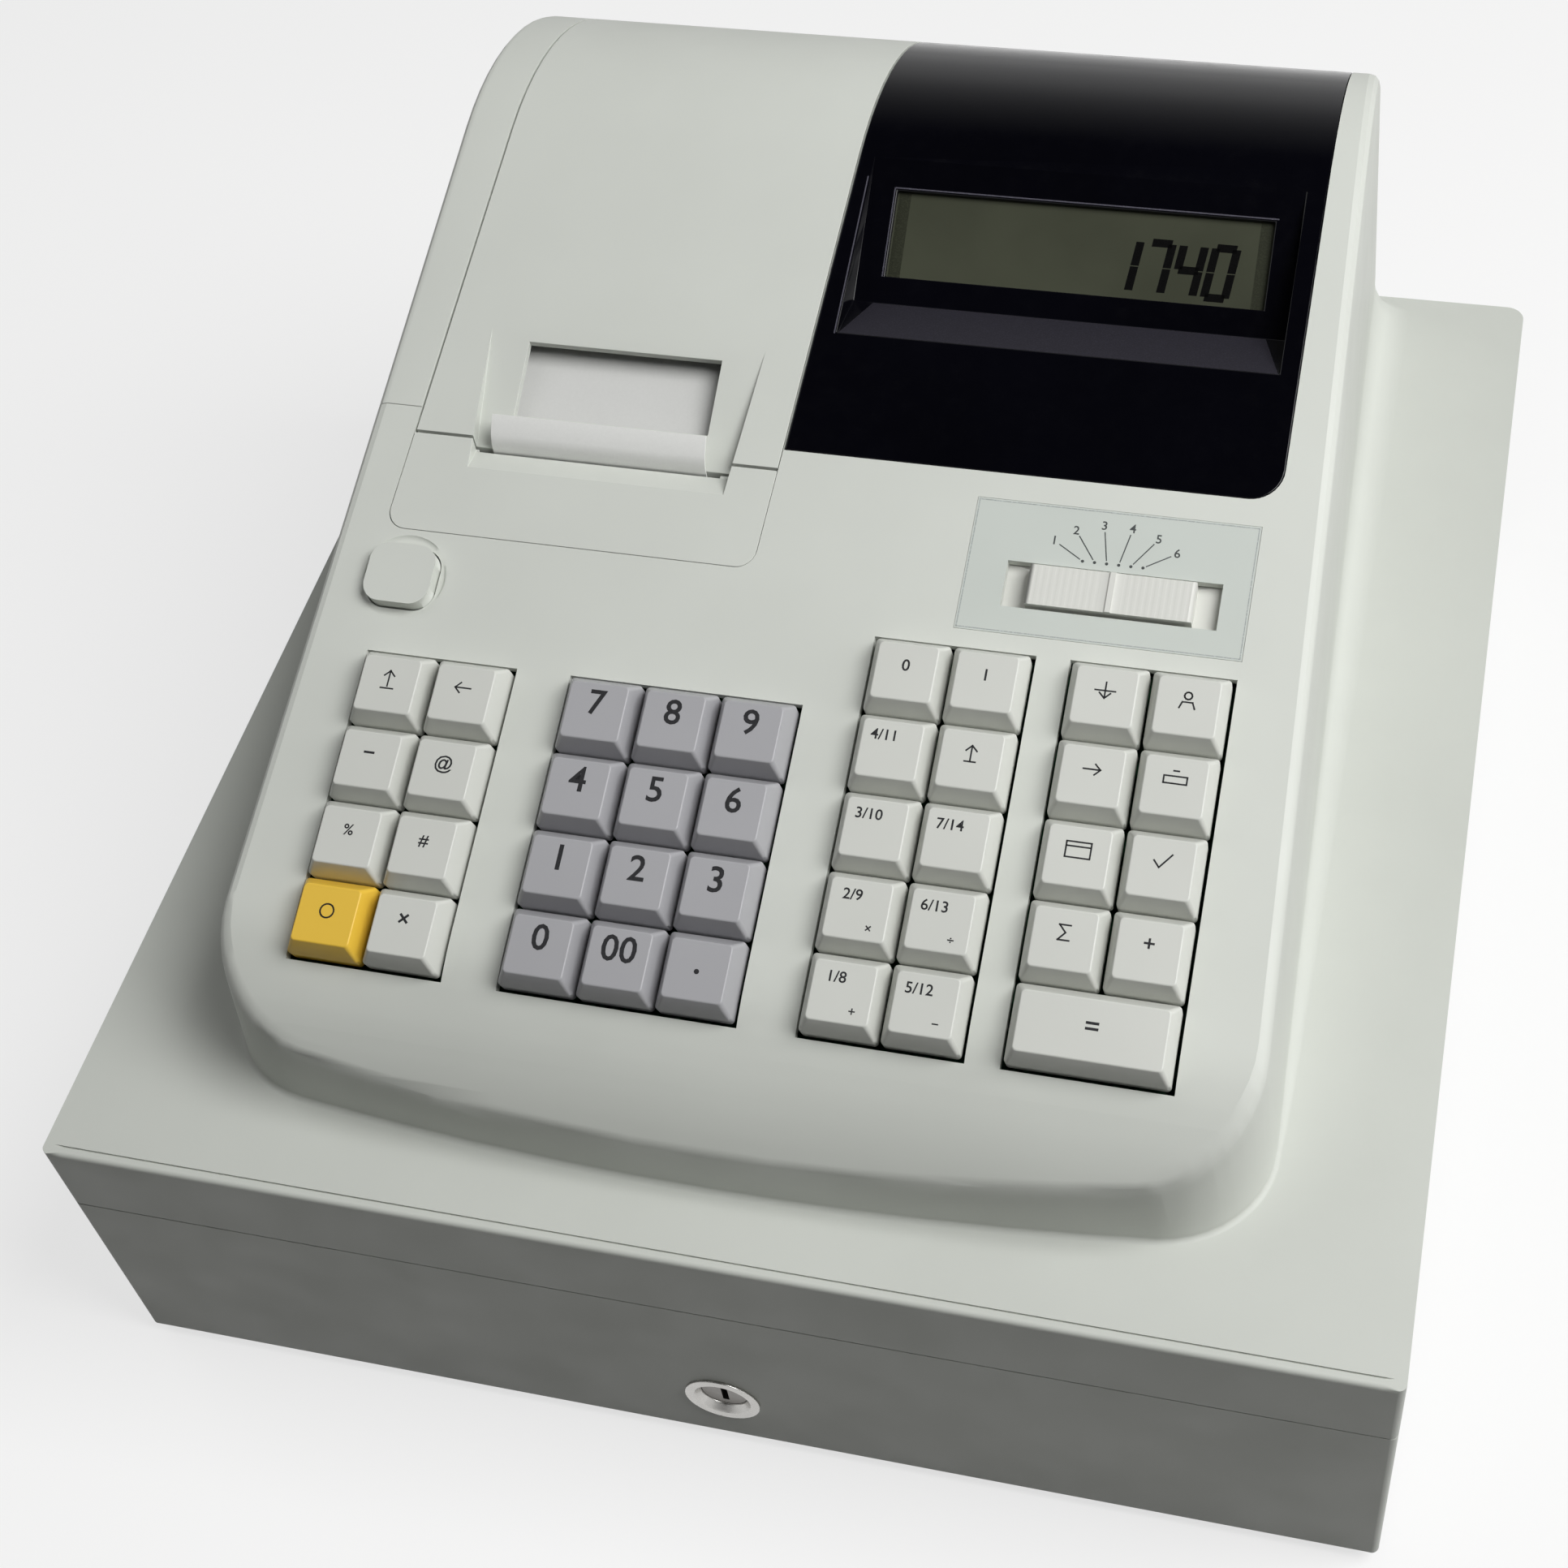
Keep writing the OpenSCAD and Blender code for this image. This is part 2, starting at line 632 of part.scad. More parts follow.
module cover_button() {
    color(pale) on_panel() translate([button_at[0], button_at[1], 0]) {
        difference() {
            translate([0, 0, -3.2]) linear_extrude(3.2 + button_rise) button_outline(0, 5);
            translate([0, 0, -4]) linear_extrude(2.4 + button_rise) button_outline(-1.5, 3.5);
        }
        translate([0, 0, -9]) cylinder(h = 8.4 + button_rise, r = 2.5, $fn = 32);
        difference() {
            translate([0, 0, -4.4]) linear_extrude(1.3)
                rounded_rect(button_size[0] + 4, button_size[1], 5);
            translate([0, 0, -5]) linear_extrude(3) button_outline(-1.5, 3.5);
        }
    }
}

// Display bezel: glossy panel that wraps over the rounded top, with a wedge recess for the display
module display_bezel() {
    color(gloss_black) difference() {
        union() {
            top_skin(0, cover_t, cover_end_angle) bezel_plan(-seam_gap);
            on_panel() along_x(recess_left - 1.6, recess_right + 1.6) polygon([
                [recess_top + 3, -0.4], [recess_bottom - 2, -0.4], [recess_bottom - 2, -cover_t],
                [recess_foot - 2, -recess_depth - 1.6], floor_point(recess_foot, floor_t),
                floor_point(recess_top, floor_t), [recess_top + 3, -cover_t]]);
            intersection() {
                on_roll(rear_window_angle) box([rear_window[0] - 4, -rear_window[2] / 2 - 4, -rear_seat],
                    [rear_window[1] + 4, rear_window[2] / 2 + 4, 0]);
                along_x(-case_w / 2, case_w / 2)
                    polygon(concat(top_line(1, 0), [[-case_d / 2, z_top]]));
            }
        }
        on_panel() along_x(recess_left, recess_right) polygon([[recess_top, 0],
            [recess_foot, -recess_depth], [recess_bottom, 0], [recess_bottom, 2], [recess_top, 2]]);
        on_display_floor() box([lcd_left, 0, -4], [lcd_right, lcd_size_y(), 6]);
        on_roll(rear_window_angle)
            box([rear_window[0], -rear_window[2] / 2, -6], [rear_window[1], rear_window[2] / 2, 3]);
    }
}

// The point under the recess's floor at a place up the panel and a distance below the floor
function floor_point(v, below) = let (tilt = atan(recess_depth / (recess_top - recess_foot)))
    [v + below * sin(tilt),
        -recess_depth * (recess_top - v) / (recess_top - recess_foot) - below * cos(tilt)];

// The recess's floor, as a frame: X across, Y up along the floor from the LCD's lower edge, Z out of it
module on_display_floor() {
    tilt = atan(recess_depth / (recess_top - recess_foot));
    depth = recess_depth * (recess_top - lcd_bottom) / (recess_top - recess_foot);
    on_panel() translate([0, lcd_bottom, -depth]) rotate([tilt, 0, 0]) children();
}

function lcd_size_y() = (lcd_top - lcd_bottom) / cos(atan(recess_depth / (recess_top - recess_foot)));

// A frame on the rounded top: X across, Y towards the front, Z out of the surface
module on_roll(angle) {
    translate([0, roll_y + roll_r * cos(angle), roll_z + roll_r * sin(angle)])
        rotate([angle - 90, 0, 0]) mirror([0, 1, 0]) children();
}

module lcd_panels() {
    color([0.42, 0.45, 0.36]) {
        on_display_floor() box([lcd_left - 1.5, -1.5, -floor_t - glass_t],
            [lcd_right + 1.5, lcd_size_y() + 1.5, -floor_t]);
        on_roll(rear_window_angle)
            box([rear_window[0] - 2, -rear_window[2] / 2 - 2, -rear_seat - glass_t],
                [rear_window[1] + 2, rear_window[2] / 2 + 2, -rear_seat]);
    }
}

module mode_plate() {
    color([0.80, 0.83, 0.84]) on_panel() difference() {
        box([plate_box[0] + 0.1, plate_box[1] + 0.1, -0.35],
            [plate_box[2] - 0.1, plate_box[3] - 0.1, 0.05]);
        box([slot_box[0], slot_box[1], -1], [slot_box[2], slot_box[3], 1]);
    }
}

module mode_slider() {
    ribs = 10;
    knob_middle = (knob_box[0] + knob_box[2]) / 2;
    color(pale) on_panel() {
        difference() {
            box([knob_box[0], knob_box[1], -3.2], [knob_box[2], knob_box[3], 3.6]);
            for (side = [0, 1]) for (i = [0 : ribs - 1]) {
                u = side == 0 ? knob_box[0] + 1.6 + i * 1.7 : knob_box[2] - 1.6 - i * 1.7;
                translate([u, knob_box[1] - 1, 3.6]) rotate([-90, 0, 0])
                    cylinder(h = knob_box[3] - knob_box[1] + 2, r = 0.45, $fn = 16);
            }
        }
        box([knob_middle - 0.7, knob_box[1], 3], [knob_middle + 0.7, knob_box[3], 4.6]);
        box([slot_box[0] - 6.6, slot_box[1] - 2, -4.4], [slot_box[2] + 6.6, slot_box[3] + 2, -2.9]);
    }
}

// Drawer: front panel and tray in one moulding, with a flange on each side that runs in the rails
module drawer() {
    panel_top = z_seam - 0.5;
    panel_low = z_floor + 1;
    color(pale) difference() {
        union() {
            difference() {
                translate([0, 0, panel_low]) linear_extrude(panel_top - panel_low) intersection() {
                    case_plan(0);
                    translate([-case_w / 2, y_front]) square([case_w, front_t]);
                }
                box([-case_w / 2 + wall, y_front + wall, panel_low + wall],
                    [case_w / 2 - wall, y_front + front_t + 1, panel_top - wall]);
            }
            difference() {
                box([-tray_half_w, y_front + wall - eps, tray_floor_z],
                    [tray_half_w, tray_back_y, tray_top_z]);
                box([-tray_half_w + tray_wall, y_front + front_t + tray_wall, tray_floor_z + tray_wall],
                    [tray_half_w - tray_wall, tray_back_y - tray_wall, tray_top_z + 1]);
                box([-tray_half_w + tray_wall, y_front, tray_floor_z + tray_wall],
                    [tray_half_w - tray_wall, y_front + front_t, tray_top_z - 3]);
            }
            for (side = [0, 1]) mirror([side, 0, 0]) {
                box([tray_half_w - eps, y_body + 3, 38], [case_w / 2 - wall - 0.4, tray_back_y - 15, 44]);
                box([10, tray_back_y - eps, striker_z[0]], [12.5, striker_y + 3, striker_z[1]]);
            }
            box([-12.5, striker_y, striker_z[0]], [12.5, striker_y + 3, striker_z[1]]);
        }
        lock_bore(8, 40);
        box([-4.5, y_front + 19.2, tray_floor_z - 1],
            [19, y_front + 24.2, tray_floor_z + tray_wall + 1]);
    }
}

module lock_bore(r, depth) {
    translate([0, y_front - 2, z_floor + lock_h]) rotate([-90, 0, 0])
        cylinder(h = depth + 2, r = r, $fn = 48);
}

module lock_housing() {
    color([0.82, 0.83, 0.84]) translate([0, y_front, z_floor + lock_h]) rotate([-90, 0, 0]) difference() {
        union() {
            cylinder(h = 20, r = 7.95, $fn = 48);
            translate([0, 0, -lock_proud]) cylinder(h = lock_proud, r = lock_r, $fn = 64);
        }
        translate([0, 0, -2]) cylinder(h = 30, r = 6.05, $fn = 48);
        translate([0, 0, -lock_proud - eps]) cylinder(h = barrel_sunk, r1 = 7.5, r2 = 5.9, $fn = 64);
    }
}

// Lock barrel: the plug with its keyhole, and the cam behind the drawer's front
module lock_barrel() {
    color([0.78, 0.79, 0.80]) translate([0, y_front, z_floor + lock_h]) rotate([-90, 0, 0]) {
        difference() {
            translate([0, 0, barrel_sunk - lock_proud]) cylinder(h = 22 - barrel_sunk, r = 6, $fn = 48);
            translate([-0.8, -2.6, 0]) cube([1.6, 6.6, 11]);
        }
        translate([-4, -4, 20.6]) cube([4 + cam_reach, 8, 2]);
    }
}

// Cash insert: four note bays behind two rows of coin cups with rounded floors
module cash_insert() {
    cup_d = (note_bay_y - insert_wall - insert_front_y - 2 * insert_wall) / 2;
    color([0.25, 0.26, 0.27]) difference() {
        box([-insert_half_w, insert_front_y, insert_z], [insert_half_w, insert_back_y, insert_top_z]);
        for (i = [0 : 3]) {
            x = -insert_half_w + insert_wall + i * (bay_w + insert_wall);
            box([x, note_bay_y, insert_z + insert_wall],
                [x + bay_w, insert_back_y - insert_wall, insert_top_z + 1]);
            for (j = [0 : 1]) {
                y = insert_front_y + insert_wall + j * (cup_d + insert_wall);
                translate([0, y, insert_z + insert_wall]) along_x(x, x + bay_w) cup_section(cup_d);
            }
        }
        clip_axle(clip_r + pin_play, insert_half_w - insert_wall - 0.5);
        clip_axle(clip_r + pin_play, insert_half_w + 1);
        for (x = [-1, 0, 1]) box([x * (bay_w + insert_wall) - 2, clip_y - 6, clip_z - 4],
            [x * (bay_w + insert_wall) + 2, clip_y + 6, insert_top_z + 1]);
    }
}

module cup_section(d) {
    translate([cup_floor_r, cup_floor_r]) circle(cup_floor_r, $fn = 32);
    translate([d - cup_floor_r, cup_floor_r]) circle(cup_floor_r, $fn = 32);
    translate([cup_floor_r, 0]) square([d - 2 * cup_floor_r, 60]);
    translate([0, cup_floor_r]) square([d, 60]);
}

module clip_axle(r, half) {
    translate([-half, clip_y, clip_z]) rotate([0, 90, 0]) cylinder(h = 2 * half, r = r, $fn = 32);
}

// Note clip bar: one shaft with a finger over each note bay
module note_clip_bar() {
    color([0.30, 0.31, 0.32]) {
        clip_axle(clip_r, insert_half_w - 0.3);
        for (i = [-1.5 : 1 : 1.5]) translate([i * (bay_w + insert_wall), clip_y, 0]) along_x(-11, 11)
            polygon([[0, clip_z + 1.4], [-58, 21.4], [-64, 23.4], [-64, 21.6], [-58, 19.4],
                [0, clip_z - 1.4]]);
    }
}

// Drawer latch: lever on a cross pin whose hook drops behind the drawer's striker bar
module drawer_latch() {
    color(dark_metal) {
        along_x(-5, 5) polygon([[latch_y + 3, latch_z + 1.5], [hook_y[0], latch_z + 1.5],
            [hook_y[0], hook_z],
            [hook_y[1], hook_z], [hook_y[1] + 1, latch_z - 2.5], [latch_y + 3, latch_z - 2.5]]);
        latch_axle(latch_pin_r, 9);
        latch_axle(3, 5);
    }
}

module feet() {
    color([0.12, 0.12, 0.12]) foot_places() {
        cylinder(h = foot_h, r = 9, $fn = 48);
        cylinder(h = foot_h + wall, r = 4, $fn = 32);
    }
}

// Keyboard board: the circuit board below the keys, with a switch dome under every key
module keyboard_board() {
    color([0.20, 0.40, 0.26]) on_panel() {
        translate([0, 0, board_top_n - board_t]) linear_extrude(board_t)
            polygon([[-112, -146], [112, -146], [112, -38], [14, -38], [14, -54], [-112, -54]]);
        for (k = KEYS) translate(concat(key_centre(k), [board_top_n]))
            cylinder(h = 2.6, r = 3.2, $fn = 24);
    }
}

function key_centre(k) = let (g = group_of(k[1]))
    [g[1] + 0.5 + (k[2] + k[4] / 2) * pitch_x, keys_bottom_v + 0.5 + (g[3] - k[3] - 0.5) * pitch_y];

// Printer unit: metal frame on the deck, with the print head, the platen and stub axles for the roll
module printer_unit() {
    x0 = paper_x - 38;
    x1 = paper_x + 38;
    color(dark_metal) {
        box([x0, -20, z_seam], [x1, 112, z_seam + 2]);
        for (x = [x0, x1 - 2]) along_x(x, x + 2)
            polygon([[-20, z_seam], [-20, panel_z(-20) - 14], [36, panel_z(36) - 14],
                [60, paper_z + 20], [100, paper_z + 12], [112, z_seam]]);
        on_panel() translate([x0 + 1, -17, -26]) cube([x1 - x0 - 2, 12, 14]);
        on_panel() translate([x0 + 1, 5, -17.5]) rotate([0, 90, 0])
            cylinder(h = x1 - x0 - 2, r = 5, $fn = 32);
        for (x = [x0 + 1, x1 - 15]) translate([x, paper_y, paper_z]) rotate([0, 90, 0])
            cylinder(h = 14, r = core_r - 0.08, $fn = 48);
    }
}

module paper_roll() {
    color([0.95, 0.95, 0.93]) translate([paper_x - paper_w / 2, paper_y, paper_z])
        rotate([0, 90, 0]) difference() {
        cylinder(h = paper_w, r = paper_roll_r, $fn = 96);
        translate([0, 0, -1]) cylinder(h = paper_w + 2, r = core_r, $fn = 48);
    }
}

// Receipt paper: from the roll, under the window, up through the slot, with a short end standing out
module receipt_paper() {
    t = 0.4;
    roll_top_n = (paper_z + paper_roll_r + 1 - panel_z0) * cos(slope) - paper_y * sin(slope);
    roll_top_v = (paper_z + paper_roll_r + 1 - panel_z0) * sin(slope) + paper_y * cos(slope);
    path = [[roll_top_v, roll_top_n], [36, -6.6], [9, -7], [1, -8.1], [-1.2, -7.6], [-1.8, -6],
        [-1.1, -3.8], [-0.3, -1.6], [1.5, 0.8], [6, 3.2]];
    color([0.93, 0.93, 0.90]) on_panel() along_x(paper_x - paper_w / 2, paper_x + paper_w / 2)
        polygon(concat([for (i = [0 : len(path) - 1]) path[i] + t / 2 * normal_at(path, i)],
            [for (i = [len(path) - 1 : -1 : 0]) path[i] - t / 2 * normal_at(path, i)]));
}

function unit(v) = v / norm(v);
function normal_at(path, i) =
    let (d = unit(path[min(i + 1, len(path) - 1)] - path[max(i - 1, 0)])) [-d[1], d[0]];

// One key: a hollow cap with sloping sides and a stem down to its switch
module key(k) {
    w = k[4] * pitch_x - key_gap;
    h = pitch_y - key_gap;
    top_w = w - (pitch_x - key_gap - key_top_x);
    shades = [["white", key_white], ["blue", key_blue], ["yellow", key_yellow]];
    color([for (s = shades) if (s[0] == k[5]) s[1]][0]) on_panel() translate(concat(key_centre(k), [0])) {
        difference() {
            key_block(w, h, top_w, key_top_y, key_rise);
            key_block(w - 2.4, h - 2.4, top_w - 2.4, key_top_y - 2.4, key_rise - 1.4, 1);
        }
        for (x = k[4] == 1 ? [0] : [-pitch_x / 2, 0, pitch_x / 2]) {
            low = x == 0 ? stem_n : stem_n + 2;
            translate([x, 0, low]) cylinder(h = key_rise - 1 - low, r = 2.2, $fn = 24);
        }
    }
}

module key_block(w, h, top_w, top_h, rise, more = 0) {
    low = -2.4;
    intersection() {
        rotate([90, 0, 0]) translate([0, 0, -h / 2]) linear_extrude(h)
            polygon([[-w / 2, low - more], [w / 2, low - more], [w / 2, 1.6],
                [top_w / 2, rise], [-top_w / 2, rise], [-w / 2, 1.6]]);
        along_x(-w / 2, w / 2) polygon([[-h / 2, low - more], [h / 2, low - more], [h / 2, 1.6],
            [top_h / 2, rise], [-top_h / 2, rise], [-h / 2, 1.6]]);
    }
}

lower_cabinet();
upper_cabinet();
side_cheek();
roll_cover();
head_cover();
cover_button();
display_bezel();
lcd_panels();
mode_plate();
mode_slider();
drawer();
cash_insert();
note_clip_bar();
lock_housing();
lock_barrel();
drawer_latch();
feet();
keyboard_board();
printer_unit();
paper_roll();
receipt_paper();
for (k = KEYS) key(k);
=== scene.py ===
"""Counter-top cash register: the finished looks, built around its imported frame.

Every piece is in metres in the frame's own axes: X is the operator's right, Y the back, Z up.
Each sub-assembly is a class that builds its pieces, dresses them and hangs them on their bodies.
"""

import json
import logging
import math
from collections.abc import Callable, Iterable
from dataclasses import dataclass, field
from enum import Enum

import bmesh
import bpy
from mathutils import Matrix, Vector

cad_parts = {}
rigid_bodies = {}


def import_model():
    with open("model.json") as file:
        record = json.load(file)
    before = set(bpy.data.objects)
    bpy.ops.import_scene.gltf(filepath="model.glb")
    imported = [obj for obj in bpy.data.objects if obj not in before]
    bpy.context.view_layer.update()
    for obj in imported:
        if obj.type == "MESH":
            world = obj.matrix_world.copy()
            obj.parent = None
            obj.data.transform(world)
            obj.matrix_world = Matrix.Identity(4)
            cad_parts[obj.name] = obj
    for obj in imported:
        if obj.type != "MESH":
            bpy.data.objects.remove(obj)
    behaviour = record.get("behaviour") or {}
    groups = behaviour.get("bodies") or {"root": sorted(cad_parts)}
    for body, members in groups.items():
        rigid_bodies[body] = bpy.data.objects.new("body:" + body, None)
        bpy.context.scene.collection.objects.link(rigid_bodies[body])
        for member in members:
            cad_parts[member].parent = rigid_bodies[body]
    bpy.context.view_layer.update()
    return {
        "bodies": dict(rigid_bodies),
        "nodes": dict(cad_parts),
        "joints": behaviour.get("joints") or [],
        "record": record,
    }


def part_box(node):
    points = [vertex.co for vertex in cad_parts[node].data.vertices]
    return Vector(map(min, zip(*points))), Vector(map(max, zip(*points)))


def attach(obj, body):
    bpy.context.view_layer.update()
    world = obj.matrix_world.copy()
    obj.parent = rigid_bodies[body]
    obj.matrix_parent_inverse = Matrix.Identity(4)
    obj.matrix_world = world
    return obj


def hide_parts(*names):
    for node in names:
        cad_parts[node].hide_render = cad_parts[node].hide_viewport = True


LOG = logging.getLogger("register")
MM = 0.001
PRINT_DEPTH = (-0.03 * MM, 0.02 * MM)
CAPITAL_SHARE = 0.72
FRAME_WIDTH = 1932
FRAME_HEIGHT = 1932


class Slot(Enum):
    """The record's material slots."""

    CASE = "case_plastic"
    KEY_WHITE = "key_white"
    KEY_BLUE = "key_blue"
    KEY_YELLOW = "key_yellow"
    GLOSS_BLACK = "gloss_black"
    GLASS = "display_glass"
    PRINT = "plate_print"
    INSERT = "insert_plastic"
    BRIGHT = "bright_metal"
    STEEL = "steel"
    RUBBER = "rubber"
    BOARD = "circuit_board"
    PAPER = "paper"


class NodeGraph:
    """A short way to lay out a material's nodes around its Principled shader."""

    def __init__(self, name: str) -> None:
        """Starts a material.

        Args:
            name: The material's name.
        """
        self.material = bpy.data.materials.new(name)
        self.material.use_nodes = True
        self.tree = self.material.node_tree
        self.shader = self.tree.nodes["Principled BSDF"]
        self.coordinates = self.tree.nodes.new("ShaderNodeTexCoord").outputs["Object"]

    def add(self, kind: str, **inputs: object) -> bpy.types.Node:
        """Adds a node and sets or links its inputs.

        Args:
            kind: The node's type.
            **inputs: A value or an output socket for each input, its name in lower case.

        Returns:
            The new node.
        """
        made = self.tree.nodes.new(kind)
        by_name = {socket.name.lower().replace(" ", "_"): socket for socket in reversed(made.inputs)}
        for name, value in inputs.items():
            self.feed(by_name[name], value)
        return made

    def feed(self, socket: bpy.types.NodeSocket, value: object) -> None:
        """Sets a socket to a value, or links an output to it."""
        if isinstance(value, bpy.types.NodeSocket):
            self.tree.links.new(value, socket)
        else:
            socket.default_value = value

    def noise(self, scale: float, detail: float = 3.0, roughness: float = 0.5) -> bpy.types.NodeSocket:
        """Returns the value of a noise on the piece's own coordinates, in cells to the metre."""
        made = self.add("ShaderNodeTexNoise", vector=self.coordinates, scale=scale, detail=detail)
        made.inputs["Roughness"].default_value = roughness
        return made.outputs["Fac"]

    def ramp(self, value: bpy.types.NodeSocket, low: float, high: float, out_low: float,
             out_high: float) -> bpy.types.NodeSocket:
        """Returns a value moved from one range to another, clamped."""
        made = self.add("ShaderNodeMapRange", value=value, from_min=low, from_max=high, to_min=out_low,
                        to_max=out_high)
        return made.outputs["Result"]

    def blend(self, factor: bpy.types.NodeSocket, first: tuple[float, ...] | bpy.types.NodeSocket,
              second: tuple[float, ...] | bpy.types.NodeSocket) -> bpy.types.NodeSocket:
        """Returns a colour between two, by a factor."""
        made = self.tree.nodes.new("ShaderNodeMix")
        made.data_type = "RGBA"
        self.feed(made.inputs[0], factor)
        for socket, colour in ((made.inputs[6], first), (made.inputs[7], second)):
            self.feed(socket, (*colour, 1.0) if isinstance(colour, tuple) else colour)
        return made.outputs[2]

    def bump(self, height: bpy.types.NodeSocket, strength: float, depth: float,
             below: bpy.types.NodeSocket | None = None) -> bpy.types.NodeSocket:
        """Returns a normal that follows a height, over another normal if one is given."""
        made = self.add("ShaderNodeBump", height=height, strength=strength, distance=depth)
        if below is not None:
            self.feed(made.inputs["Normal"], below)
        return made.outputs["Normal"]


def shade(colour: tuple[float, ...], factor: float) -> tuple[float, ...]:
    """Returns a colour made lighter or darker by a factor."""
    return tuple(min(1.0, part * factor) for part in colour)


@dataclass(frozen=True)
class Finish:
    """What every finish has: a name, a colour and a way to make its material once."""

    name: str
    colour: tuple[float, float, float]

    def material(self) -> bpy.types.Material:
        """Returns the finish's material, made on first use."""
        return bpy.data.materials.get(self.name) or self.make()

    def make(self) -> bpy.types.Material:
        """Builds the material."""
        raise NotImplementedError


@dataclass(frozen=True)
class Moulding(Finish):
    """Moulded plastic: a faint cloudiness in the colour and a fine spark-eroded grain."""

    roughness: float = 0.5
    clouding: float = 0.03
    grain: float = 0.12
    grain_scale: float = 2200.0
    grain_depth: float = 0.04 * MM
    specular: float = 0.4
    # A factor under 1 paints shade on the deck and the base, fading out over the height range below.
    base_shade: float = 1.0
    base_top: tuple[float, float] = (97.2 * MM, 99.5 * MM)

    def make(self) -> bpy.types.Material:
        """Builds the material, with painted shade that makes the deck and the base a little darker if its base
        shade factor is under 1.
        """
        graph = NodeGraph(self.name)
        cloud = graph.ramp(graph.noise(14.0, 4.0), 0.3, 0.7, 0.0, 1.0)
        colour = graph.blend(cloud, shade(self.colour, 1 - self.clouding), shade(self.colour, 1 + self.clouding))
        # Painted shade: everything below the deck's top is darkened, standing in for the lesser light that falls
        # there.
        if self.base_shade < 1:
            base = shade(self.colour, self.base_shade)
            low = graph.blend(cloud, shade(base, 1 - self.clouding), shade(base, 1 + self.clouding))
            height = graph.add("ShaderNodeSeparateXYZ", vector=graph.coordinates).outputs["Z"]
            colour = graph.blend(graph.ramp(height, *self.base_top, 0.0, 1.0), low, colour)
        graph.feed(graph.shader.inputs["Base Color"], colour)
        rough = graph.ramp(graph.noise(60.0, 3.0), 0.3, 0.7, self.roughness - 0.04, self.roughness + 0.05)
        graph.feed(graph.shader.inputs["Roughness"], rough)
        graph.shader.inputs["Specular IOR Level"].default_value = self.specular
        grain = graph.bump(graph.noise(self.grain_scale, 2.0, 0.6), self.grain, self.grain_depth)
        graph.feed(graph.shader.inputs["Normal"], grain)
        return graph.material


@dataclass(frozen=True)
class Gloss(Finish):
    """Polished plastic with a faint unevenness and fine dust-like haze in its roughness."""

    roughness: float = 0.12
    specular: float = 0.35

    def make(self) -> bpy.types.Material:
        """Builds the material."""
        graph = NodeGraph(self.name)
        cloud = graph.ramp(graph.noise(25.0, 3.0), 0.3, 0.7, 0.0, 1.0)
        graph.feed(graph.shader.inputs["Base Color"],
                   graph.blend(cloud, shade(self.colour, 0.85), shade(self.colour, 1.15)))
        rough = graph.ramp(graph.noise(180.0, 5.0, 0.65), 0.35, 0.75, self.roughness, self.roughness + 0.1)
        graph.feed(graph.shader.inputs["Roughness"], rough)
        graph.shader.inputs["Specular IOR Level"].default_value = self.specular
        graph.feed(graph.shader.inputs["Normal"], graph.bump(graph.noise(35.0, 1.0), 0.08, 0.2 * MM))
        return graph.material


@dataclass(frozen=True)
class Metal(Finish):
    """Worked metal: brushed or plated, with fine scratches in its roughness and relief."""

    roughness: float = 0.3
    scratch: float = 0.1

    def make(self) -> bpy.types.Material:
        """Builds the material."""
        graph = NodeGraph(self.name)
        cloud = graph.ramp(graph.noise(70.0, 4.0), 0.3, 0.7, 0.0, 1.0)
        graph.feed(graph.shader.inputs["Base Color"],
                   graph.blend(cloud, shade(self.colour, 0.9), shade(self.colour, 1.06)))
        graph.shader.inputs["Metallic"].default_value = 1.0
        rough = graph.ramp(graph.noise(900.0, 4.0, 0.7), 0.3, 0.7, self.roughness - 0.06, self.roughness + 0.1)
        graph.feed(graph.shader.inputs["Roughness"], rough)
        graph.feed(graph.shader.inputs["Normal"], graph.bump(graph.noise(1500.0, 3.0), self.scratch, 0.02 * MM))
        return graph.material


@dataclass(frozen=True)
class Fibre(Finish):
    """Thermal paper: off-white, with short faint fibres, and painted shade that darkens it where it lies inside
    the printer.
    """

    roughness: float = 0.7
    # A factor under 1 paints shade on the paper past a depth along Y, fading in over the range below.
    inside_shade: float = 1.0
    inside_start: tuple[float, float] = (6.0 * MM, 9.0 * MM)

    def make(self) -> bpy.types.Material:
        """Builds the material."""
        graph = NodeGraph(self.name)
        fibre = graph.ramp(graph.noise(1300.0, 6.0, 0.75), 0.35, 0.7, 0.0, 1.0)
        colour = graph.blend(fibre, shade(self.colour, 0.96), self.colour)
        # Painted shade: the paper inside the printer is darkened, standing in for the shade that falls there.
        if self.inside_shade < 1:
            inner = shade(self.colour, self.inside_shade)
            depth = graph.add("ShaderNodeSeparateXYZ", vector=graph.coordinates).outputs["Y"]
            inside = graph.ramp(depth, *self.inside_start, 0.0, 1.0)
            colour = graph.blend(inside, colour, graph.blend(fibre, shade(inner, 0.96), inner))
        graph.feed(graph.shader.inputs["Base Color"], colour)
        graph.shader.inputs["Roughness"].default_value = self.roughness
        graph.feed(graph.shader.inputs["Normal"], graph.bump(fibre, 0.15, 0.03 * MM))
        return graph.material


@dataclass(frozen=True)
class CircuitBoard(Finish):
    """Solder-masked laminate with the glass weave showing through."""

    def make(self) -> bpy.types.Material:
        """Builds the material."""
        graph = NodeGraph(self.name)
        weave = graph.add("ShaderNodeTexWave", vector=graph.coordinates, scale=120.0, distortion=3.0)
        graph.feed(graph.shader.inputs["Base Color"],
                   graph.blend(weave.outputs["Fac"], shade(self.colour, 0.8), shade(self.colour, 1.2)))
        graph.shader.inputs["Roughness"].default_value = 0.35
        graph.feed(graph.shader.inputs["Normal"], graph.bump(weave.outputs["Fac"], 0.1, 0.05 * MM))
        return graph.material


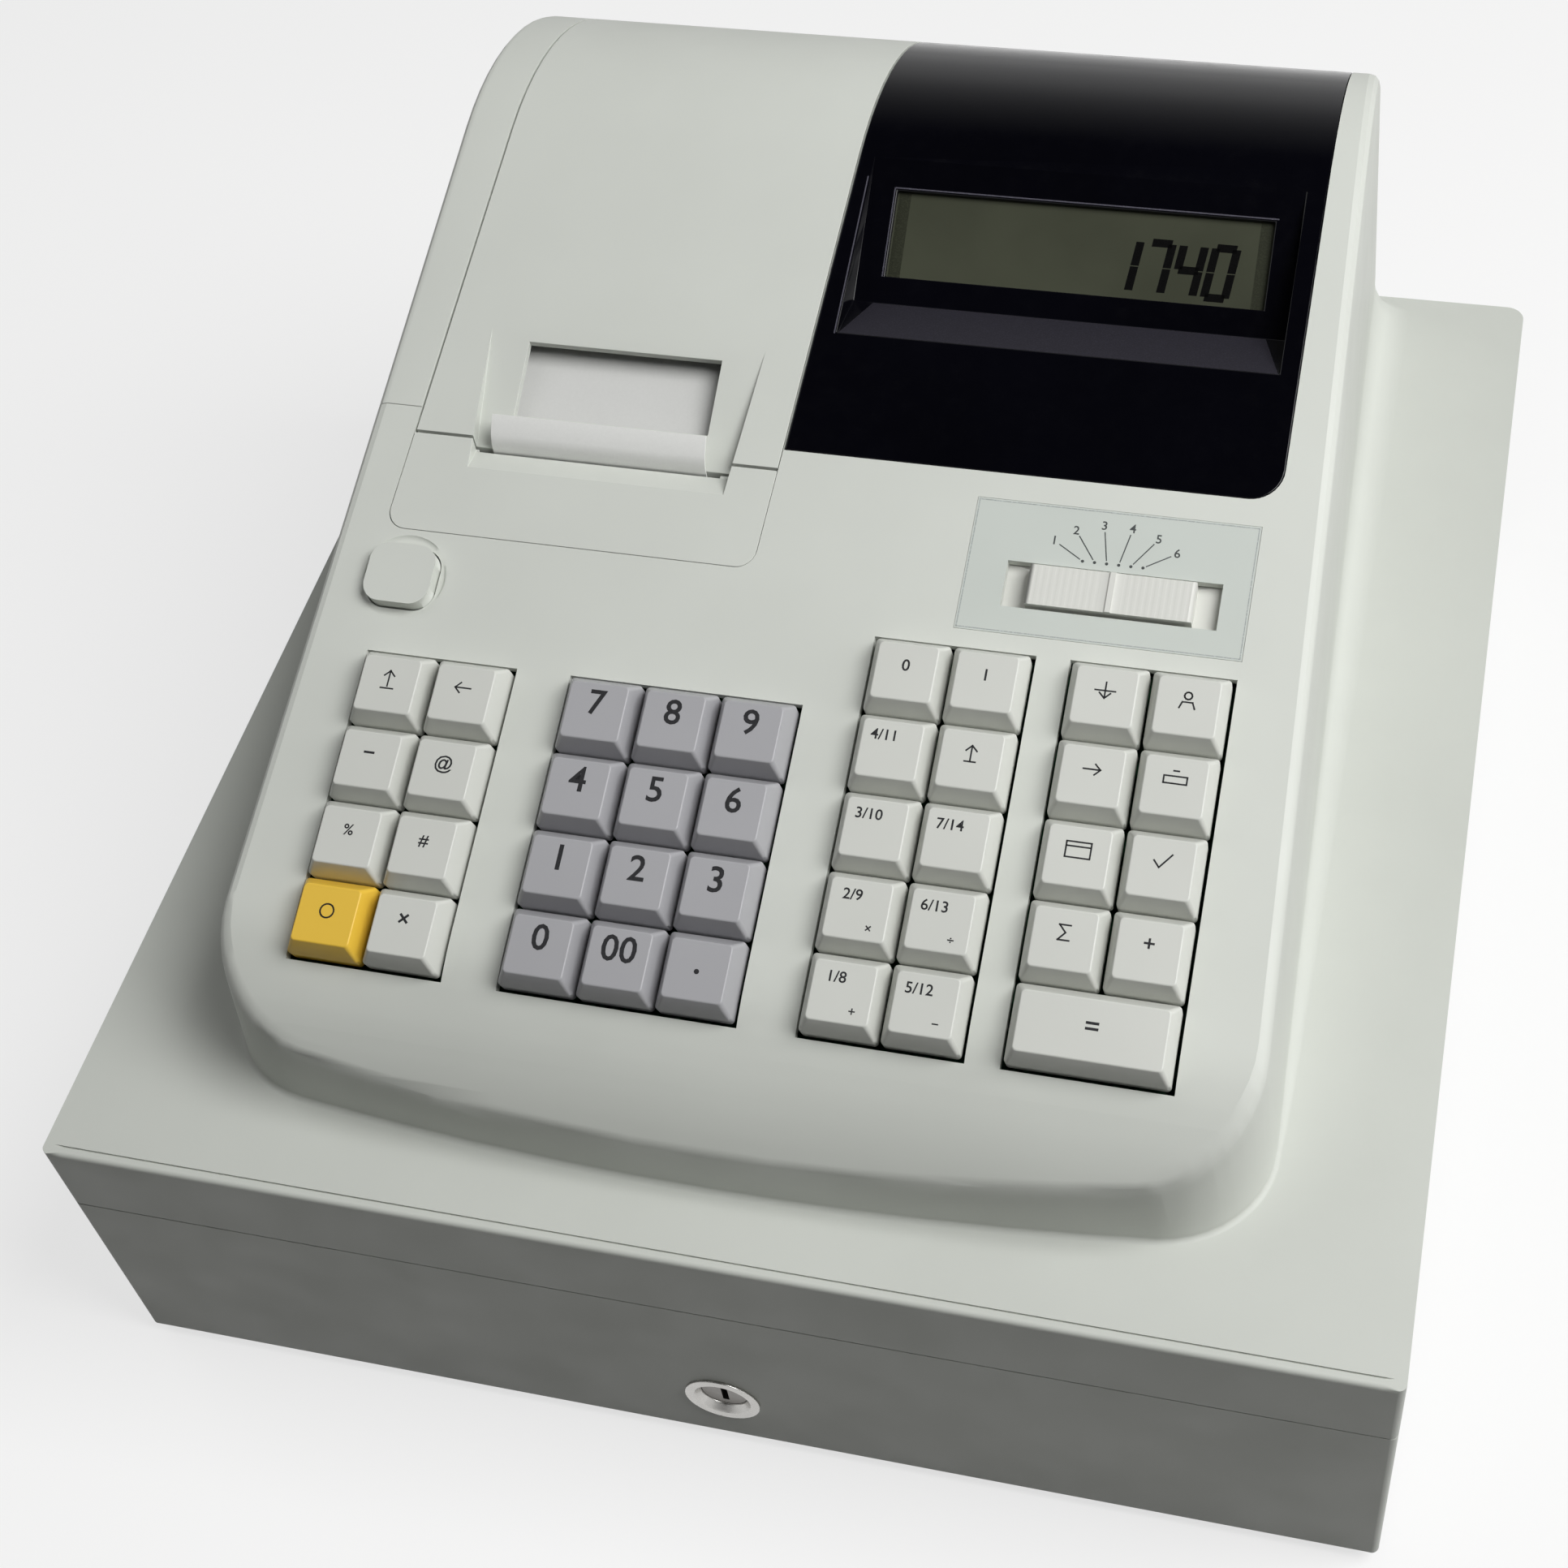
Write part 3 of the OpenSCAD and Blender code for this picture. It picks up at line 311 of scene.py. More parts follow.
@dataclass(frozen=True)
class Ink(Finish):
    """Printed ink: flat, with a slight thinning in places."""

    specular: float = 0.2

    def make(self) -> bpy.types.Material:
        """Builds the material."""
        graph = NodeGraph(self.name)
        worn = graph.ramp(graph.noise(2500.0, 3.0), 0.45, 0.75, 0.0, 1.0)
        graph.feed(graph.shader.inputs["Base Color"], graph.blend(worn, self.colour, shade(self.colour, 1.6)))
        graph.shader.inputs["Roughness"].default_value = 0.6
        graph.shader.inputs["Specular IOR Level"].default_value = self.specular
        return graph.material


# The case's base shade is painted shade that darkens the deck and the base.
CASE = Moulding("case_moulding", (0.61, 0.63, 0.585), base_shade=0.91)
KEY_WHITE = Moulding("key_white_moulding", (0.62, 0.63, 0.59), roughness=0.4, grain=0.08)
KEY_BLUE = Moulding("key_blue_moulding", (0.385, 0.384, 0.400), roughness=0.4, grain=0.08)
KEY_YELLOW = Moulding("key_yellow_moulding", (0.80, 0.515, 0.055), roughness=0.4, grain=0.08)
KNOB = Moulding("knob_moulding", (0.645, 0.65, 0.61), roughness=0.45, grain=0.08)
INSERT = Moulding("insert_moulding", (0.055, 0.056, 0.06), roughness=0.55, grain=0.2)
RUBBER = Moulding("foot_rubber", (0.018, 0.018, 0.018), roughness=0.8, grain=0.3, specular=0.2)
BEZEL = Gloss("bezel_gloss", (0.0015, 0.0015, 0.003), roughness=0.1, specular=0.25)
LCD = Gloss("lcd_glass", (0.054, 0.058, 0.040), roughness=0.16, specular=0.25)
LOCK_RING = Metal("lock_ring", (0.58, 0.57, 0.55), roughness=0.24)
LOCK_FACE = Metal("lock_face", (0.26, 0.25, 0.24), roughness=0.34, scratch=0.2)
STEEL = Metal("zinc_steel", (0.42, 0.43, 0.45), roughness=0.42, scratch=0.2)
PLATE = Moulding("plate_film", (0.552, 0.588, 0.550), roughness=0.35, grain=0.03)
# The receipt paper gets painted shade where it lies inside the printer.
PAPER = Fibre("thermal_paper", (0.90, 0.905, 0.88), inside_shade=0.68)
# A darker copy of the receipt paper: painted shade for the roll inside the printer's housing.
SHADED_ROLL_PAPER = Fibre("paper_roll", (0.60, 0.605, 0.58))
BOARD = CircuitBoard("solder_mask", (0.02, 0.11, 0.045))
LEGEND = Ink("legend_ink", (0.02, 0.02, 0.022))
SEGMENT = Ink("lcd_segment", (0.003, 0.003, 0.003), specular=0.02)
PLATE_LINE = Ink("plate_line", (0.06, 0.065, 0.065))
PLATE_EDGE = Ink("plate_edge", (0.34, 0.365, 0.355))
FRAME_LINE = Ink("frame_line", (0.060, 0.058, 0.075))
LEDGE = Ink("ledge_film", (0.016, 0.015, 0.021))
# Painted shade for both ends of the operator's glass.
LCD_END_SHADE = Ink("lcd_end", (0.022, 0.024, 0.015), specular=0.1)


@dataclass
class Workshop:
    """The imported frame, and the ways in which every piece is made from it or beside it."""

    frame: dict
    bodies: dict[str, str] = field(default_factory=dict)

    def __post_init__(self) -> None:
        """Notes the body of each node."""
        for body, nodes in self.frame["record"]["behaviour"]["bodies"].items():
            self.bodies.update({node: body for node in nodes})

    def solid(self, node: str) -> bmesh.types.BMesh:
        """Returns a merged copy of a node's solid, with its flat faces whole.

        Args:
            node: The node's name.

        Returns:
            A bmesh in the frame's axes.
        """
        mesh = bmesh.new()
        mesh.from_mesh(self.frame["nodes"][node].data)
        bmesh.ops.remove_doubles(mesh, verts=mesh.verts, dist=0.004 * MM)
        bmesh.ops.dissolve_degenerate(mesh, dist=0.004 * MM, edges=mesh.edges)
        bmesh.ops.dissolve_limit(mesh, angle_limit=math.radians(0.4), verts=mesh.verts, edges=mesh.edges)
        return mesh

    def place(self, name: str, mesh: bmesh.types.BMesh, finish: Finish, body: str,
              stands_for: Iterable[str] = (), crease: float = 32.0) -> bpy.types.Object:
        """Makes a piece from a bmesh and hangs it on its body.

        Args:
            name: The piece's name.
            mesh: Its shape, which is used up.
            finish: Its finish.
            body: The body that it rides on.
            stands_for: The nodes that it replaces.
            crease: The angle in degrees past which an edge is shaded as sharp.

        Returns:
            The new object.
        """
        data = bpy.data.meshes.new(name)
        for face in mesh.faces:
            face.smooth = True
        mesh.to_mesh(data)
        mesh.free()
        data.set_sharp_from_angle(angle=math.radians(crease))
        data.materials.append(finish.material())
        piece = bpy.data.objects.new(name, data)
        bpy.context.scene.collection.objects.link(piece)
        even = piece.modifiers.new("even_shading", "WEIGHTED_NORMAL")
        even.keep_sharp = True
        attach(piece, body)
        for node in stands_for:
            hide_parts(node)
        LOG.info("%s rides on %s, %d faces", name, body, len(data.polygons))
        return piece

    def dress(self, node: str, finish: Finish, edge: float = 0.35 * MM, segments: int = 2,
              name: str = "", crease: float = 32.0) -> bpy.types.Object:
        """Replaces a node by its own shape with softened edges and a finish.

        Args:
            node: The node's name.
            finish: The finish.
            edge: How wide its edges are rounded, in metres.
            segments: How many faces the rounding has.
            name: The piece's name, or the node's with a suffix.
            crease: The angle in degrees past which an edge is shaded as sharp.

        Returns:
            The new object.
        """
        mesh = self.solid(node)
        if edge > 0:
            soften(mesh, edge, segments)
        return self.place(name or f"{node}_finished", mesh, finish, self.bodies[node], [node], crease)


def sharp_edges(mesh: bmesh.types.BMesh, least: float = 28.0) -> list[bmesh.types.BMEdge]:
    """Returns the edges whose faces meet at more than an angle in degrees."""
    limit = math.radians(least)
    return [edge for edge in mesh.edges if edge.is_manifold and edge.calc_face_angle(0.0) > limit]


def soften(mesh: bmesh.types.BMesh, width: float, segments: int = 2,
           which: Callable[[bmesh.types.BMEdge], bool] | None = None) -> None:
    """Rounds the sharp edges of a shape.

    Args:
        mesh: The shape.
        width: The rounding's width in metres.
        segments: How many faces the rounding has.
        which: A test that an edge has to pass, or None for every sharp edge.
    """
    chosen = [edge for edge in sharp_edges(mesh)
              if edge.calc_length() > 1.2 * width and (which is None or which(edge))]
    bmesh.ops.bevel(mesh, geom=chosen, offset=width, offset_type="OFFSET", affect="EDGES", segments=segments,
                    profile=0.5, clamp_overlap=False, material=-1)


def level(edge: bmesh.types.BMEdge, height: float) -> bool:
    """Returns whether an edge lies at a height."""
    return all(abs(vertex.co.z - height) < 0.02 * MM for vertex in edge.verts)


def tighten(mesh: bmesh.types.BMesh, box: tuple[Vector, Vector], radius: float, old: float = 5.0 * MM) -> None:
    """Makes the front corners of a rounded outline tighter, with everything that runs round them.

    Args:
        mesh: The shape.
        box: Its lowest and highest corner.
        radius: The corners' new radius.
        old: Their old radius.
    """
    half, front = box[1].x, box[0].y
    for vertex in mesh.verts:
        way = Vector((abs(vertex.co.x) - half + old, front + old - vertex.co.y))
        if way.x < 0 or way.y < 0 or way.length < 0.5 * MM:
            continue
        inset = old - way.length
        bend = max(radius - inset, 0.0)
        place = Vector((half - inset - bend, bend + inset)) + Vector((way.x, -way.y)) * (bend / way.length)
        vertex.co.x = math.copysign(place.x, vertex.co.x)
        vertex.co.y = front + place.y
    bmesh.ops.remove_doubles(mesh, verts=mesh.verts, dist=0.004 * MM)
    bmesh.ops.dissolve_degenerate(mesh, dist=0.004 * MM, edges=mesh.edges)


def settle(mesh: bmesh.types.BMesh) -> None:
    """Orders a mesh's elements by their places alone, so that what is built on it always comes out the same.

    Args:
        mesh: The mesh to put in order.
    """
    mesh.verts.sort(key=lambda vertex: vertex.co.dot(SETTLE_WAY))
    mesh.edges.sort(key=lambda edge: (edge.verts[0].co + edge.verts[1].co).dot(SETTLE_WAY))
    mesh.faces.sort(key=lambda face: face.calc_center_median().dot(SETTLE_WAY))
    for elements in (mesh.verts, mesh.edges, mesh.faces):
        elements.index_update()


def keep_inside(mesh: bmesh.types.BMesh, low: Vector, high: Vector) -> None:
    """Brings every point that lies outside a box back to its side.

    Args:
        mesh: The mesh to keep inside.
        low: The box's lowest corner.
        high: The box's highest corner.
    """
    for vertex in mesh.verts:
        vertex.co = [min(max(value, least), most) for value, least, most in zip(vertex.co, low, high)]


def deck_face(mesh: bmesh.types.BMesh, deck: float) -> bmesh.types.BMFace:
    """Finds the deck's own face.

    Args:
        mesh: The shell.
        deck: The deck's height.

    Returns:
        The largest upward face at that height.
    """
    flat = [face for face in mesh.faces if face.normal.z > 0.999 and
            abs(face.calc_center_median().z - deck) < 0.1 * MM]
    return max(flat, key=lambda face: face.calc_area())


def nearest(point: Vector, start: Vector, end: Vector) -> Vector:
    """Returns the point of a line from start to end that is nearest to a point."""
    along = end - start
    share = (point - start).dot(along) / along.length_squared
    return start + along * min(max(share, 0.0), 1.0)


def add_box(mesh: bmesh.types.BMesh, low: Iterable[float], high: Iterable[float]) -> list[bmesh.types.BMVert]:
    """Adds a box between two corners and returns its corners."""
    start, end = Vector(low), Vector(high)
    size = end - start
    matrix = Matrix.Translation((start + end) / 2) @ Matrix.Diagonal((*size, 1.0))
    return bmesh.ops.create_cube(mesh, size=1.0, matrix=matrix)["verts"]


def add_stroke(mesh: bmesh.types.BMesh, start: tuple[float, float], end: tuple[float, float], width: float,
               depth: tuple[float, float]) -> None:
    """Adds a flat printed line between two points.

    Args:
        mesh: The shape to add it to.
        start: One end, across and up, in metres.
        end: The other end.
        width: The line's width.
        depth: The line's lowest and highest level.
    """
    first, last = Vector((*start, 0.0)), Vector((*end, 0.0))
    along = last - first
    turn = Matrix.Rotation(math.atan2(along.y, along.x), 4, "Z")
    middle = (first + last) / 2 + Vector((0, 0, (depth[0] + depth[1]) / 2))
    size = Matrix.Diagonal((along.length + width, width, depth[1] - depth[0], 1.0))
    bmesh.ops.create_cube(mesh, size=1.0, matrix=Matrix.Translation(middle) @ turn @ size)


def add_dot(mesh: bmesh.types.BMesh, centre: tuple[float, float], radius: float,
            depth: tuple[float, float]) -> None:
    """Adds a flat round dot.

    Args:
        mesh: The shape to add it to.
        centre: Its middle, across and up, in metres.
        radius: Its radius.
        depth: Its lowest and highest level.
    """
    place = Matrix.Translation((*centre, (depth[0] + depth[1]) / 2))
    bmesh.ops.create_cone(mesh, cap_ends=True, segments=16, radius1=radius, radius2=radius,
                          depth=depth[1] - depth[0], matrix=place)


@dataclass(frozen=True)
class KeyPanel:
    """The sloping key panel, as a frame: X across, Y up the slope, Z out of the panel."""

    slope: float = 18.9
    middle_height: float = 179 * MM

    def matrix(self) -> Matrix:
        """Returns the panel's place in the frame."""
        return Matrix.Translation((0, 0, self.middle_height)) @ Matrix.Rotation(math.radians(self.slope), 4, "X")

    def local_box(self, item: bpy.types.Object) -> tuple[Vector, Vector]:
        """Returns the lowest and highest corner of an object's mesh in the panel's own axes."""
        back = self.matrix().inverted()
        points = [back @ vertex.co for vertex in item.data.vertices]
        low = Vector(tuple(min(point[axis] for point in points) for axis in range(3)))
        high = Vector(tuple(max(point[axis] for point in points) for axis in range(3)))
        return low, high


PANEL = KeyPanel()
SETTLE_WAY = Vector((1.0, 1.41421, 1.73205))


def flatten(mesh: bmesh.types.BMesh, share: float) -> None:
    """Lowers what stands out of the key panel to a share of its height."""
    bmesh.ops.transform(mesh, matrix=PANEL.matrix().inverted(), verts=mesh.verts)
    for vertex in mesh.verts:
        if vertex.co.z > 0:
            vertex.co.z *= share
    bmesh.ops.transform(mesh, matrix=PANEL.matrix(), verts=mesh.verts)


Stroke = tuple[tuple[float, float], tuple[float, float]]


def arrow(quarters: int) -> list[Stroke]:
    """Returns a small arrow in millimetres, turned from pointing up by quarter turns to the left."""
    lines = [((0, -2), (0, 2)), ((0, 2), (-1.3, 0.7)), ((0, 2), (1.3, 0.7))]
    for _ in range(quarters):
        lines = [((-start[1], start[0]), (-end[1], end[0])) for start, end in lines]
    return lines


def ring(radius: float, sides: int = 20) -> list[Stroke]:
    """Returns a circle in millimetres as short lines."""
    points = [(radius * math.cos(math.tau * side / sides), radius * math.sin(math.tau * side / sides))
              for side in range(sides + 1)]
    return list(zip(points, points[1:]))


def outline(half_width: float, half_height: float) -> list[Stroke]:
    """Returns a rectangle in millimetres as four lines."""
    points = [(-half_width, -half_height), (half_width, -half_height), (half_width, half_height),
              (-half_width, half_height), (-half_width, -half_height)]
    return list(zip(points, points[1:]))


class Mark(Enum):
    """Plain marks for the function keys."""

    FEED = "feed"
    BACK = "back"
    OUT = "out"
    IN = "in"
    SHIFT = "shift"
    RING = "ring"
    BAR = "bar"
    CARD = "card"
    TICK = "tick"
    TRAY = "tray"
    SUM = "sum"
    PERSON = "person"

    def strokes(self) -> list[Stroke]:
        """Returns the mark's lines in millimetres about its middle."""
        return {
            Mark.FEED: arrow(0) + [((-1.6, -2.6), (1.6, -2.6))],
            Mark.BACK: arrow(1),
            Mark.OUT: arrow(2) + outline(2.4, 0.1)[:1],
            Mark.IN: arrow(3),
            Mark.SHIFT: arrow(0) + [((-1.3, -2), (1.3, -2))],
            Mark.RING: ring(1.7),
            Mark.BAR: [((0, -1.8), (0, 1.8))],
            Mark.CARD: outline(2.9, 1.9) + [((-2.9, 0.8), (2.9, 0.8))],
            Mark.TICK: [((-1.9, 0.1), (-0.6, -1.5)), ((-0.6, -1.5), (2.1, 1.8))],
            Mark.TRAY: outline(2.7, 0.9) + [((-1, -0.9), (1, -0.9)), ((-0.6, 2.2), (0.6, 2.2))],
            Mark.SUM: [((1.3, 1.8), (-1.3, 1.8)), ((-1.3, 1.8), (0.3, 0)), ((0.3, 0), (-1.3, -1.8)),
                       ((-1.3, -1.8), (1.3, -1.8))],
            Mark.PERSON: [((x, y + 1.1), (u, v + 1.1)) for (x, y), (u, v) in ring(0.9, 12)]
            + [((-1.8, -2), (-1.2, -0.5)), ((-1.2, -0.5), (1.2, -0.5)), ((1.2, -0.5), (1.8, -2))],
        }[self]


@dataclass(frozen=True)
class Legend:
    """A generic sign on a key: characters or a mark, its height and its place from the key's middle."""

    sign: str | Mark
    height: float = 3.0
    place: tuple[float, float] = (0.0, 1.6)


NUMBER = {"height": 6.4, "place": (0.0, 2.0)}
CORNER = {"height": 2.2, "place": (3.2, -4.2)}
LEGENDS: dict[str, tuple[Legend, ...]] = {
    **{f"key_{digit}": (Legend(str(digit), **NUMBER),) for digit in range(10)},
    **{f"key_group_{number}": (Legend(f"{number}/{number + 7}", 2.7, (-1.8, 3.4)),) for number in range(1, 8)},
    "key_00": (Legend("00", **NUMBER),),
    "key_point": (Legend(".", **NUMBER),),
    "key_feed": (Legend(Mark.FEED),),
    "key_void": (Legend(Mark.BACK),),
    "key_refund": (Legend("\u2212", 4.0),),
    "key_price": (Legend("@", 3.4),),
    "key_percent": (Legend("%", 2.8),),
    "key_item": (Legend("#", 3.0),),
    "key_clear": (Legend(Mark.RING, place=(0.0, 1.0)),),
    "key_quantity": (Legend("\u00d7", 4.0),),
    "key_receipt_off": (Legend("0", 3.0),),
    "key_receipt_on": (Legend("1", 3.0),),
    "key_group_shift": (Legend(Mark.SHIFT),),
    "key_paid_out": (Legend(Mark.OUT),),
    "key_clerk": (Legend(Mark.PERSON),),
    "key_received": (Legend(Mark.IN),),
    "key_no_sale": (Legend(Mark.TRAY),),
    "key_card": (Legend(Mark.CARD),),
    "key_check": (Legend(Mark.TICK),),
    "key_subtotal": (Legend(Mark.SUM),),
    "key_charge": (Legend("+", 3.6),),
    "key_total": (Legend("=", 4.4, (0.0, 0.6)),),
}
SIGNS = {"key_group_1": "+", "key_group_2": "\u00d7", "key_group_5": "\u2212", "key_group_6": "\u00f7"}


def written(text: str, size: float, matrix: Matrix, height: float = 0.04 * MM) -> bmesh.types.BMesh:
    """Returns generic characters as a thin solid.

    Args:
        text: The characters.
        size: The font size in metres.
        matrix: Their place, the characters' middle at its origin.
        height: The thickness of the ink.

    Returns:
        A bmesh in the frame's axes.
    """
    curve = bpy.data.curves.new("characters", "FONT")
    curve.body = text
    curve.size = size
    curve.align_x = "CENTER"
    curve.align_y = "CENTER"
    curve.extrude = height / 2
    curve.offset = 0.012 * size
    curve.resolution_u = 3
    holder = bpy.data.objects.new("characters", curve)
    bpy.context.scene.collection.objects.link(holder)
    flat = bpy.data.meshes.new_from_object(holder.evaluated_get(bpy.context.evaluated_depsgraph_get()))
    mesh = bmesh.new()
    mesh.from_mesh(flat)
    bmesh.ops.remove_doubles(mesh, verts=mesh.verts, dist=0.001 * MM)
    bmesh.ops.transform(mesh, matrix=matrix, verts=mesh.verts)
    bpy.data.objects.remove(holder)
    bpy.data.curves.remove(curve)
    bpy.data.meshes.remove(flat)
    return mesh


def add_sign(mesh: bmesh.types.BMesh, sign: Legend, matrix: Matrix, line: float = 0.4 * MM) -> None:
    """Adds a sign to a shape as a thin print.

    Args:
        mesh: The shape to add it to.
        sign: The sign.
        matrix: Its place, the sign's middle at its origin.
        line: The width of a mark's lines.
    """
    if isinstance(sign.sign, Mark):
        part = bmesh.new()
        for start, end in sign.sign.strokes():
            add_stroke(part, (start[0] * MM, start[1] * MM), (end[0] * MM, end[1] * MM), line, PRINT_DEPTH)
        bmesh.ops.transform(part, matrix=matrix, verts=part.verts)
    else:
        part = written(sign.sign, sign.height * MM / CAPITAL_SHARE, matrix)
    joined = bpy.data.meshes.new("sign")
    part.to_mesh(joined)
    part.free()
    mesh.from_mesh(joined)
    bpy.data.meshes.remove(joined)


@dataclass
class DrawerCase:
    """The steel-grey base: the cabinet, the cash drawer with its insert, the lock and the latch."""

    shop: Workshop
    corner: float = 2.0 * MM

    def build(self) -> None:
        """Builds every piece of the base."""
        self.shop.dress("lower_cabinet", CASE, 0.3 * MM)
        mesh = self.shop.solid("drawer")
        tighten(mesh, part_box("drawer"), self.corner)
        soften(mesh, 0.25 * MM)
        self.shop.place("drawer_finished", mesh, CASE, self.shop.bodies["drawer"], ["drawer"])
        self.shop.dress("cash_insert", INSERT, 0.5 * MM)
        self.shop.dress("note_clip_bar", INSERT, 0.3 * MM)
        self.shop.dress("lock_housing", LOCK_RING, 0.25 * MM, 3)
        self.shop.dress("lock_barrel", LOCK_FACE, 0.15 * MM)
        self.shop.dress("drawer_latch", STEEL, 0.3 * MM)
        self.shop.dress("feet", RUBBER, 0.6 * MM)


@dataclass
class Console:
    """The console on top: its shell with the deck's skirt, the side cheek, the covers and the button."""

    shop: Workshop
    corner: float = 2.0 * MM
    bead: float = 1.2 * MM
    groove_depth: float = 0.6 * MM
    groove_end: float = -172.5 * MM
    groove_half: float = 160.2 * MM
    foot_merge: float = 0.15 * MM
    foot_fillet: float = 1.3 * MM
    foot_rear: float = 11.0 * MM
    foot_rear_left: float = 1.3 * MM
    foot_cuts: int = 50
    foot_segments: int = 6
    foot_side: float = 100 * MM
    foot_reach: float = 1.5
    foot_curve: float = 0.7
    foot_plain: float = 0.5 * MM
    deck_rise: float = 25 * MM
    droop_radius: float = 66.0 * MM
    droop_centre: tuple[float, float] = (-99.72 * MM, 75.10 * MM)
    button_share: float = 0.62
    lip_straight: float = 96.0 * MM
    lip_end: float = 122.0 * MM
    nose_rear: float = -132 * MM
    nose_bottom: float = 104 * MM
    nose_depth: tuple[float, float] = (0.25 * MM, 2.2 * MM)
    nose_under: float = 1.2 * MM
    nose_push: float = 0.39 * MM

    def build(self) -> None:
        """Builds every piece of the console."""
        self.shell()
        self.shop.dress("side_cheek", CASE, 0.15 * MM)
        self.shop.dress("roll_cover", CASE, 0.12 * MM)
        self.shop.dress("head_cover", CASE, 0.12 * MM)
        self.button()

    def button(self) -> None:
        """Builds the cover's release button, low over its pocket."""
        mesh = self.shop.solid("cover_button")
        flatten(mesh, self.button_share)
        soften(mesh, 0.6 * MM, 3)
        body = self.shop.bodies["cover_button"]
        self.shop.place("cover_button_finished", mesh, CASE, body, ["cover_button"])

    def shell(self) -> None:
        """Builds the console's shell and the deck, with a beaded edge and a fillet round the console's foot."""
        mesh = self.shop.solid("upper_cabinet")
        settle(mesh)
        low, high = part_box("upper_cabinet")
        deck = low.z + self.deck_rise
        self.sharpen_lip(mesh)
        self.close_groove(mesh, deck)
        tighten(mesh, (low, high), self.corner)
        self.fillet(mesh, deck)
        keep_inside(mesh, low, high)

        def rim(edge: bmesh.types.BMEdge) -> bool:
            """Says whether an edge is on the deck's outer rim."""
            middle = (edge.verts[0].co + edge.verts[1].co) / 2
            across = max(abs(middle.x) - high.x + self.corner, 0.0)
            forward = max(low.y + self.corner - middle.y, 0.0)
            return level(edge, deck) and math.hypot(across, forward) > self.corner - 0.5 * MM

        soften(mesh, self.bead, 5, rim)
        self.shop.place("upper_cabinet_finished", mesh, CASE, "root", ["upper_cabinet"], crease=24.0)

    def sharpen_lip(self, mesh: bmesh.types.BMesh) -> None:
        """Brings the rounded nose of the console's lip to a crisp edge, fading out round the corners.

        Args:
            mesh: The shell.
        """
        middle = Vector(self.droop_centre)
        for vertex in mesh.verts:
            depth = self.droop_radius - (Vector((vertex.co.y, vertex.co.z)) - middle).length
            on_nose = self.nose_depth[0] < depth < self.nose_depth[1]
            if vertex.co.y > self.nose_rear or not on_nose or vertex.co.z < self.nose_bottom:
                continue
            across = abs(vertex.co.x)
            share = min(max((self.lip_end - across) / (self.lip_end - self.lip_straight), 0.0), 1.0)
            if depth > self.nose_under:
                vertex.co.y -= self.nose_push * share
            rise = math.sqrt(self.droop_radius ** 2 - (vertex.co.y - middle.x) ** 2) + middle.y - vertex.co.z
            vertex.co.z += rise * share

    def close_groove(self, mesh: bmesh.types.BMesh, deck: float) -> None:
        """Closes the deck's groove, except along the front.

        Args:
            mesh: The shell.
            deck: The deck's height.
        """
        for vertex in mesh.verts:
            bottom = abs(vertex.co.z - deck + self.groove_depth) < 0.02 * MM
            if bottom and (vertex.co.y > self.groove_end or abs(vertex.co.x) > self.groove_half):
                vertex.co.z = deck
        bmesh.ops.remove_doubles(mesh, verts=mesh.verts, dist=0.004 * MM)
        bmesh.ops.dissolve_limit(mesh, angle_limit=math.radians(0.4), verts=mesh.verts, edges=mesh.edges)

    def fillet(self, mesh: bmesh.types.BMesh, deck: float) -> None:
        """Rounds the console's foot into the deck, widely at the rear and finely at the front.

        Args:
            mesh: The shell.
            deck: The deck's height.
        """
        top = deck_face(mesh, deck)

        def foot(edge: bmesh.types.BMEdge) -> bool:
            """Says whether an edge is where the console meets the deck."""
            return level(edge, deck) and top in edge.link_faces and not edge.is_convex

        chosen = [edge for edge in sharp_edges(mesh) if foot(edge)]
        ends = list(dict.fromkeys(vertex for edge in chosen for vertex in edge.verts))
        bmesh.ops.remove_doubles(mesh, verts=ends, dist=self.foot_merge)
        top = deck_face(mesh, deck)
        chosen = [edge for edge in sharp_edges(mesh) if foot(edge)]
        sides = [edge for edge in chosen if edge.calc_length() > self.foot_side]
        spine = [(edge.verts[0].co.copy(), edge.verts[1].co.copy()) for edge in sides]
        bmesh.ops.bisect_edges(mesh, edges=sides, cuts=self.foot_cuts)
        chosen = [edge for edge in sharp_edges(mesh) if foot(edge)]
        made = bmesh.ops.bevel(mesh, geom=chosen, offset=self.foot_fillet, offset_type="OFFSET",
                               affect="EDGES", segments=self.foot_segments, profile=0.5,
                               clamp_overlap=False, material=-1)
        for vertex in dict.fromkeys(vertex for face in made["faces"] for vertex in face.verts):
            for ends in spine:
                foot_at = nearest(vertex.co, *ends)
                if (vertex.co - foot_at).length < self.foot_reach * self.foot_fillet:
                    rear, front = max(end.y for end in ends), min(end.y for end in ends)
                    way = min(max((vertex.co.y - front) / (rear - front), 0.0), 1.0)
                    full = self.foot_rear if vertex.co.x > 0 else self.foot_rear_left
                    growth = 1 + (full / self.foot_fillet - 1) * way ** self.foot_curve
                    if vertex.co.y > rear - self.foot_plain:
                        growth = 1.0
                    vertex.co.x = foot_at.x + (vertex.co.x - foot_at.x) * growth
                    vertex.co.z = foot_at.z + (vertex.co.z - foot_at.z) * growth
                    break


@dataclass
class Printer:
    """The receipt printer inside the console, with its paper."""

    shop: Workshop

    def build(self) -> None:
        """Builds the printer, the roll and the paper."""
        self.shop.dress("printer_unit", STEEL, 0.3 * MM)
        # The roll takes the darker copy of the paper, which is painted shade.
        self.shop.dress("paper_roll", SHADED_ROLL_PAPER, 0.3 * MM)
        self.shop.dress("receipt_paper", PAPER, 0.0, crease=60.0)


